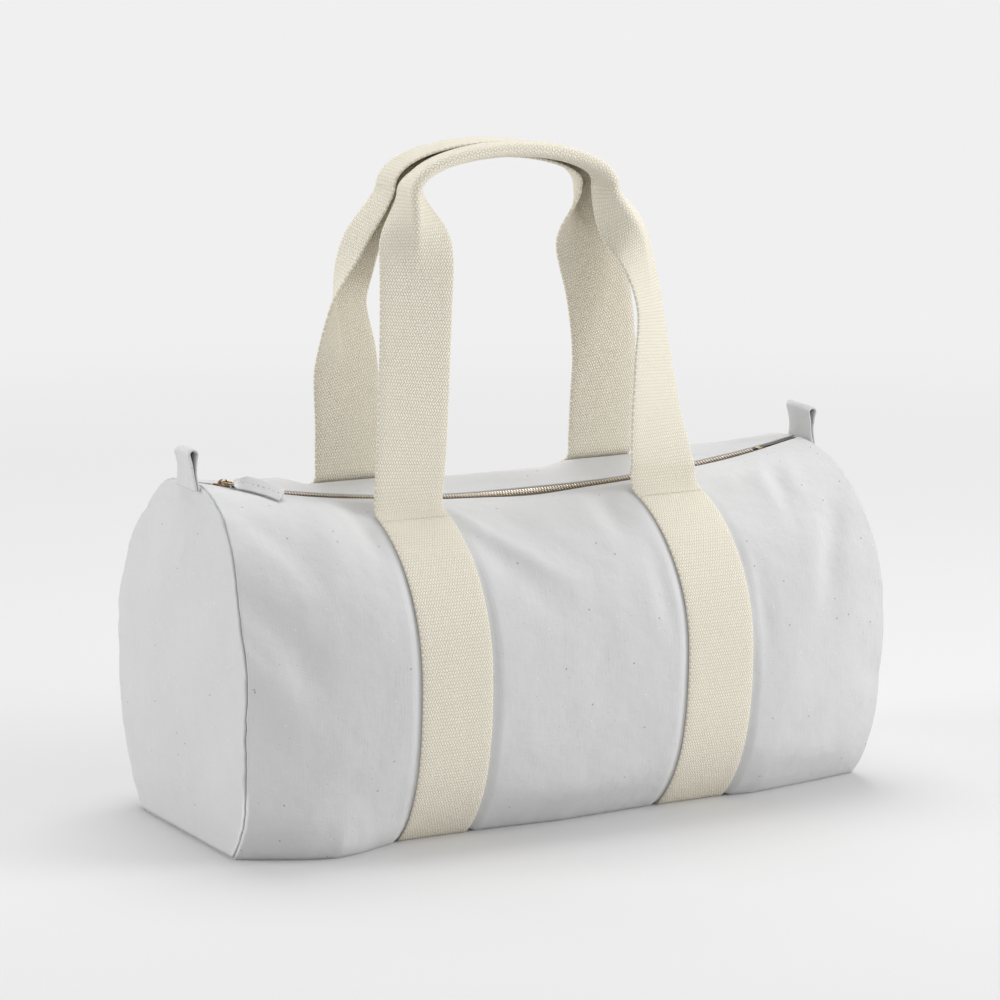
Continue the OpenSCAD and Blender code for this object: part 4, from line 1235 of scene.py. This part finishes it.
def pull_points(rows=56, cols=15):
    """Middle of the strip, still flat: from the lower tip, round the bar, back to the upper tip."""
    eye = RING_WIRE_R + RUN_GAP + PULL_T / 2 + 0.02
    straight = np.linspace(PULL_LEN, 2.6, rows)
    low = np.stack([straight, np.full(rows, -LAYERS_APART)], 1)
    s = np.linspace(0, 1, 9)[1:-1, None]
    lead = mix(low[-1], [0.2, -eye], ease(s))
    turn = np.linspace(-math.pi / 2, -3 * math.pi / 2, 14)[:, None]
    arc = np.concatenate([eye * np.cos(turn), eye * np.sin(turn)], 1)
    path = np.concatenate([low, lead, arc, (lead * [1, -1])[::-1], (low * [1, -1])[::-1]])
    width = np.linspace(-PULL_W / 2, PULL_W / 2, cols)[None]
    under = (np.arange(len(path)) < len(path) / 2)[:, None]
    far = np.clip(path[:, :1] / PULL_LEN, 0, 1)
    edge = np.abs(2 * width / PULL_W)
    y = width - under * (width < 0) * edge * 1.5 * ease(far / 0.3)
    parted = under * (width < 0) * edge ** 2 * -1.5 * ease(far / 0.35)
    curl = 0.2 * far * edge ** 3 - 0.1 * np.sin(far * 9)
    z = path[:, 1:] + parted - curl * (far > 0.2)
    corner = np.maximum(far - 0.93, 0) * edge ** 3 * -9
    return np.stack([path[:, :1] + corner + 0 * y, y, z], axis=-1)


pull_grid = twisted(pull_points())
add_band("canvas_pull_strip", pull_grid, PULL_T, canvas, "canvas", "canvas_pull", "pull")

print("pull from", pull_grid.min((0, 1)).round(1), "to", pull_grid.max((0, 1)).round(1))

# %% Stitches of the pull
dash, gap = 2.2, 1.5
over = LAYERS_APART + PULL_T / 2
starts = [(4 + i * (dash + gap), 0.5 * math.sin(i * 1.7), over) for i in range(7)]
ends = [(x + dash, y + 0.4 * math.cos(i * 2.3), z) for i, (x, y, z) in enumerate(starts)]
starts += [(PULL_LEN - 1.8, -4.4 + i * 3.1, over) for i in range(3)]
ends += [(PULL_LEN - 1.6, -2.6 + i * 3.1, over) for i in range(3)]
up_here = twisted([[20, 0, 1.0]])[0] - twisted([[20, 0, 0.0]])[0]
stitches = stitch_row("pull_stitches", twisted(starts), twisted(ends), [up_here] * len(starts), 0.5)
add_piece("pull_stitches", stitches, grey_thread, "canvas", body="pull")
print(len(starts), "stitches on the pull")

# %% [markdown]
# ## End tabs
# A strip of canvas folded into a loop, its two ends caught in the top of each end seam.

# %% End tabs
TAB_EYE_R, TAB_TOP_W = 2.3, 25.5


def tab_grid(end):
    top = float(top_z(end * ARC_HALF))
    foot = top - TAB_SINK
    high = foot / top
    face_x = float(seam_x(foot)) + END_BULGE * 4 * high * (1 - high) + SEAM_GAP
    wide = TAB_EYE_R + TAB_T / 2
    eye_z = TAB_H - wide - TAB_T / 2
    leg = np.linspace(0, 1, 22)[:, None]
    up = mix(np.array([-TAB_T / 2 - 0.1, 0.0]), np.array([-wide, eye_z]), leg)
    up[:, 0] += 0.9 * np.sin(leg[:, 0] ** 1.3 * math.pi) * (leg[:, 0] > 0)
    up[:, 0] = np.minimum(up[:, 0], -TAB_T / 2 - 0.1)
    turn = np.linspace(math.pi, 0, 20)[1:-1, None]
    arc = np.concatenate([wide * np.cos(turn), eye_z + wide * np.sin(turn)], 1)
    down = (up * [-1, 1])[::-1]
    path = np.concatenate([up, arc, down])
    cols = np.linspace(-1, 1, 17)[None]
    t = np.clip(path[:, 1:] / TAB_H, 0, 1)
    y = cols * mix(TAB_W, TAB_TOP_W, ease(t / 0.4)) / 2
    x = path[:, :1] + 0 * y + t * (0.9 * np.sin(2.4 * cols + 0.6) + 0.5 * cols)
    z = path[:, 1:] + 0 * y + t * (0.9 * cols * end + 0.5 * np.cos(2 * cols))
    y = y * (1 - 0.03 * np.sin(math.pi * t)) + 1.6 * t
    return np.stack([end * (face_x + TAB_T) + x * -end, y, foot + z], axis=-1)


for end, label in ENDS:
    grid = tab_grid(end)
    add_band("canvas_tab_" + label, grid, TAB_T - 0.1, canvas, "canvas", label + "_end_tab")
    print(label, "tab", grid.min((0, 1)).round(1), grid.max((0, 1)).round(1))

# %% [markdown]
# ## Stitching
# A row of cream stitches crosses the webbing where each handle leaves the canvas.

# %% Stitching
STITCHES_X, STITCH_HALF, STITCH_T = np.arange(-22.5, 22.6, 4.1), 1.45, 0.75


def foot_stitches(end, side):
    """Both ends of each stitch of a row, and the way that the row faces."""
    xs = end * STRAP_END_X + STITCHES_X
    a, b = (skin(xs + way * STITCH_HALF, FOOT_K, LAY_GAP + WEB_T + 0.1, side) for way in (-1, 1))
    ny, nz = outward(end * STRAP_MID, FOOT_K)
    return a, b, [(0, float(ny) * side, float(nz))] * len(xs)


rows = [foot_stitches(end, side) for end, _ in ENDS for side, _ in SIDES]
starts, ends, normals = (np.concatenate(parts) for parts in zip(*rows))
stitches = stitch_row("foot_stitches", starts, ends, normals, STITCH_T)
add_piece("foot_stitches", stitches, cream_thread, "webbing")
print(len(starts), "stitches at the feet of the handles")

# %% [markdown]
# ## Floor, backdrop and light
# A pale floor and soft studio light from both sides and from above. None of it belongs to the bag.
# The background is pale because of its own colour, so no lamp has to be brighter for it.

# %% Paper floor
PALE_FLOOR, PALE_WALL = (0.74, 0.74, 0.742, 1), (0.871, 0.871, 0.872, 1)
FLOOR_RADIUS, FADE_FROM, FADE_TO, DOME_STRENGTH = 16, 0.35, 2.2, 0.47


def seen_by_eye(tree):
    """1 for rays from the camera and for those that show it in metal or glass, otherwise 0."""
    seen, mirrored, through = (new_node(tree, "LightPath", {}, "Is %s Ray" % kind)
                               for kind in ("Camera", "Glossy", "Transmission"))
    return math_node("MAXIMUM", math_node("MAXIMUM", seen, mirrored), through)


def show_mix(tree, output, factor, near, far):
    """Shows a mix of two shaders as the surface of a material or of the world."""
    both = new_node(tree, "MixShader", {0: factor, 1: near, 2: far})
    feed(tree.nodes[output].inputs["Surface"], both)


def paper_material():
    """Matt paper that keeps the shadow of the bag, and is evenly pale further away."""
    material, _ = new_material("paper", Base_Color=PALE_FLOOR, Roughness=0.9,
                               Specular_IOR_Level=0.1)
    tree = material.node_tree
    away = new_node(tree, "VectorMath", {0: coordinates(tree, "Object")}, "Value",
                    operation="LENGTH")
    far = new_node(tree, "MapRange", {"Value": away, "From Min": FADE_FROM, "From Max": FADE_TO},
                   "Result", interpolation_type="SMOOTHSTEP")
    show_mix(tree, "Material Output", far * seen_by_eye(tree),
             Wire(tree.nodes["Principled BSDF"].outputs[0]),
             new_node(tree, "Emission", {"Color": PALE_WALL}))
    return material


bm = bmesh.new()
bmesh.ops.create_circle(bm, cap_ends=True, segments=64, radius=FLOOR_RADIUS)
floor = add_object("floor", mesh_from(bm, "floor"))
floor.data.materials.append(paper_material())
print("floor of radius", FLOOR_RADIUS, "m")

# %% Studio and lamps
world = bpy.data.worlds.new("studio")
bpy.context.scene.world = world
world.use_nodes = True
dome = world.node_tree.nodes["Background"]
feed(dome.inputs["Color"], (1, 1, 1, 1))
feed(dome.inputs["Strength"], DOME_STRENGTH)
show_mix(world.node_tree, "World Output", seen_by_eye(world.node_tree), Wire(dome.outputs[0]),
         new_node(world.node_tree, "Background", {"Color": PALE_WALL}))

# For each lamp: name, place, size in metres and power in watts
LAMPS = [("left window", (-2.3, 0.7, 0.9), 1.2, 23), ("right window", (2.2, -1.4, 1.1), 1.6, 41),
         ("low front", (0.8, -2.2, 0.25), 1.2, 7), ("overhead", (0.3, 0.7, 2.5), 1.6, 32)]
for name, place, size, power in LAMPS:
    data = bpy.data.lights.new(name, "AREA")
    data.size, data.energy = size, power
    lamp = add_object(name, data)
    lamp.location = place
    aim = Vector((0, 0, 0.18)) - Vector(place)
    lamp.rotation_euler = aim.to_track_quat("-Z", "Y").to_euler()
bpy.data.objects["low front"].visible_glossy = False
bpy.context.scene.view_settings.view_transform = "Standard"
print("lights:", [lamp[0] for lamp in LAMPS])

# %% [markdown]
# ## Cloth that was cut and sewn
# Flat lengths in mm for the front and the back, beside the names of the handles and the tapes.
# Nothing here uses them.


for (_, side), length in zip(SIDES, (635, 623)):
    "webbing_handle_" + side
    "tape_" + side
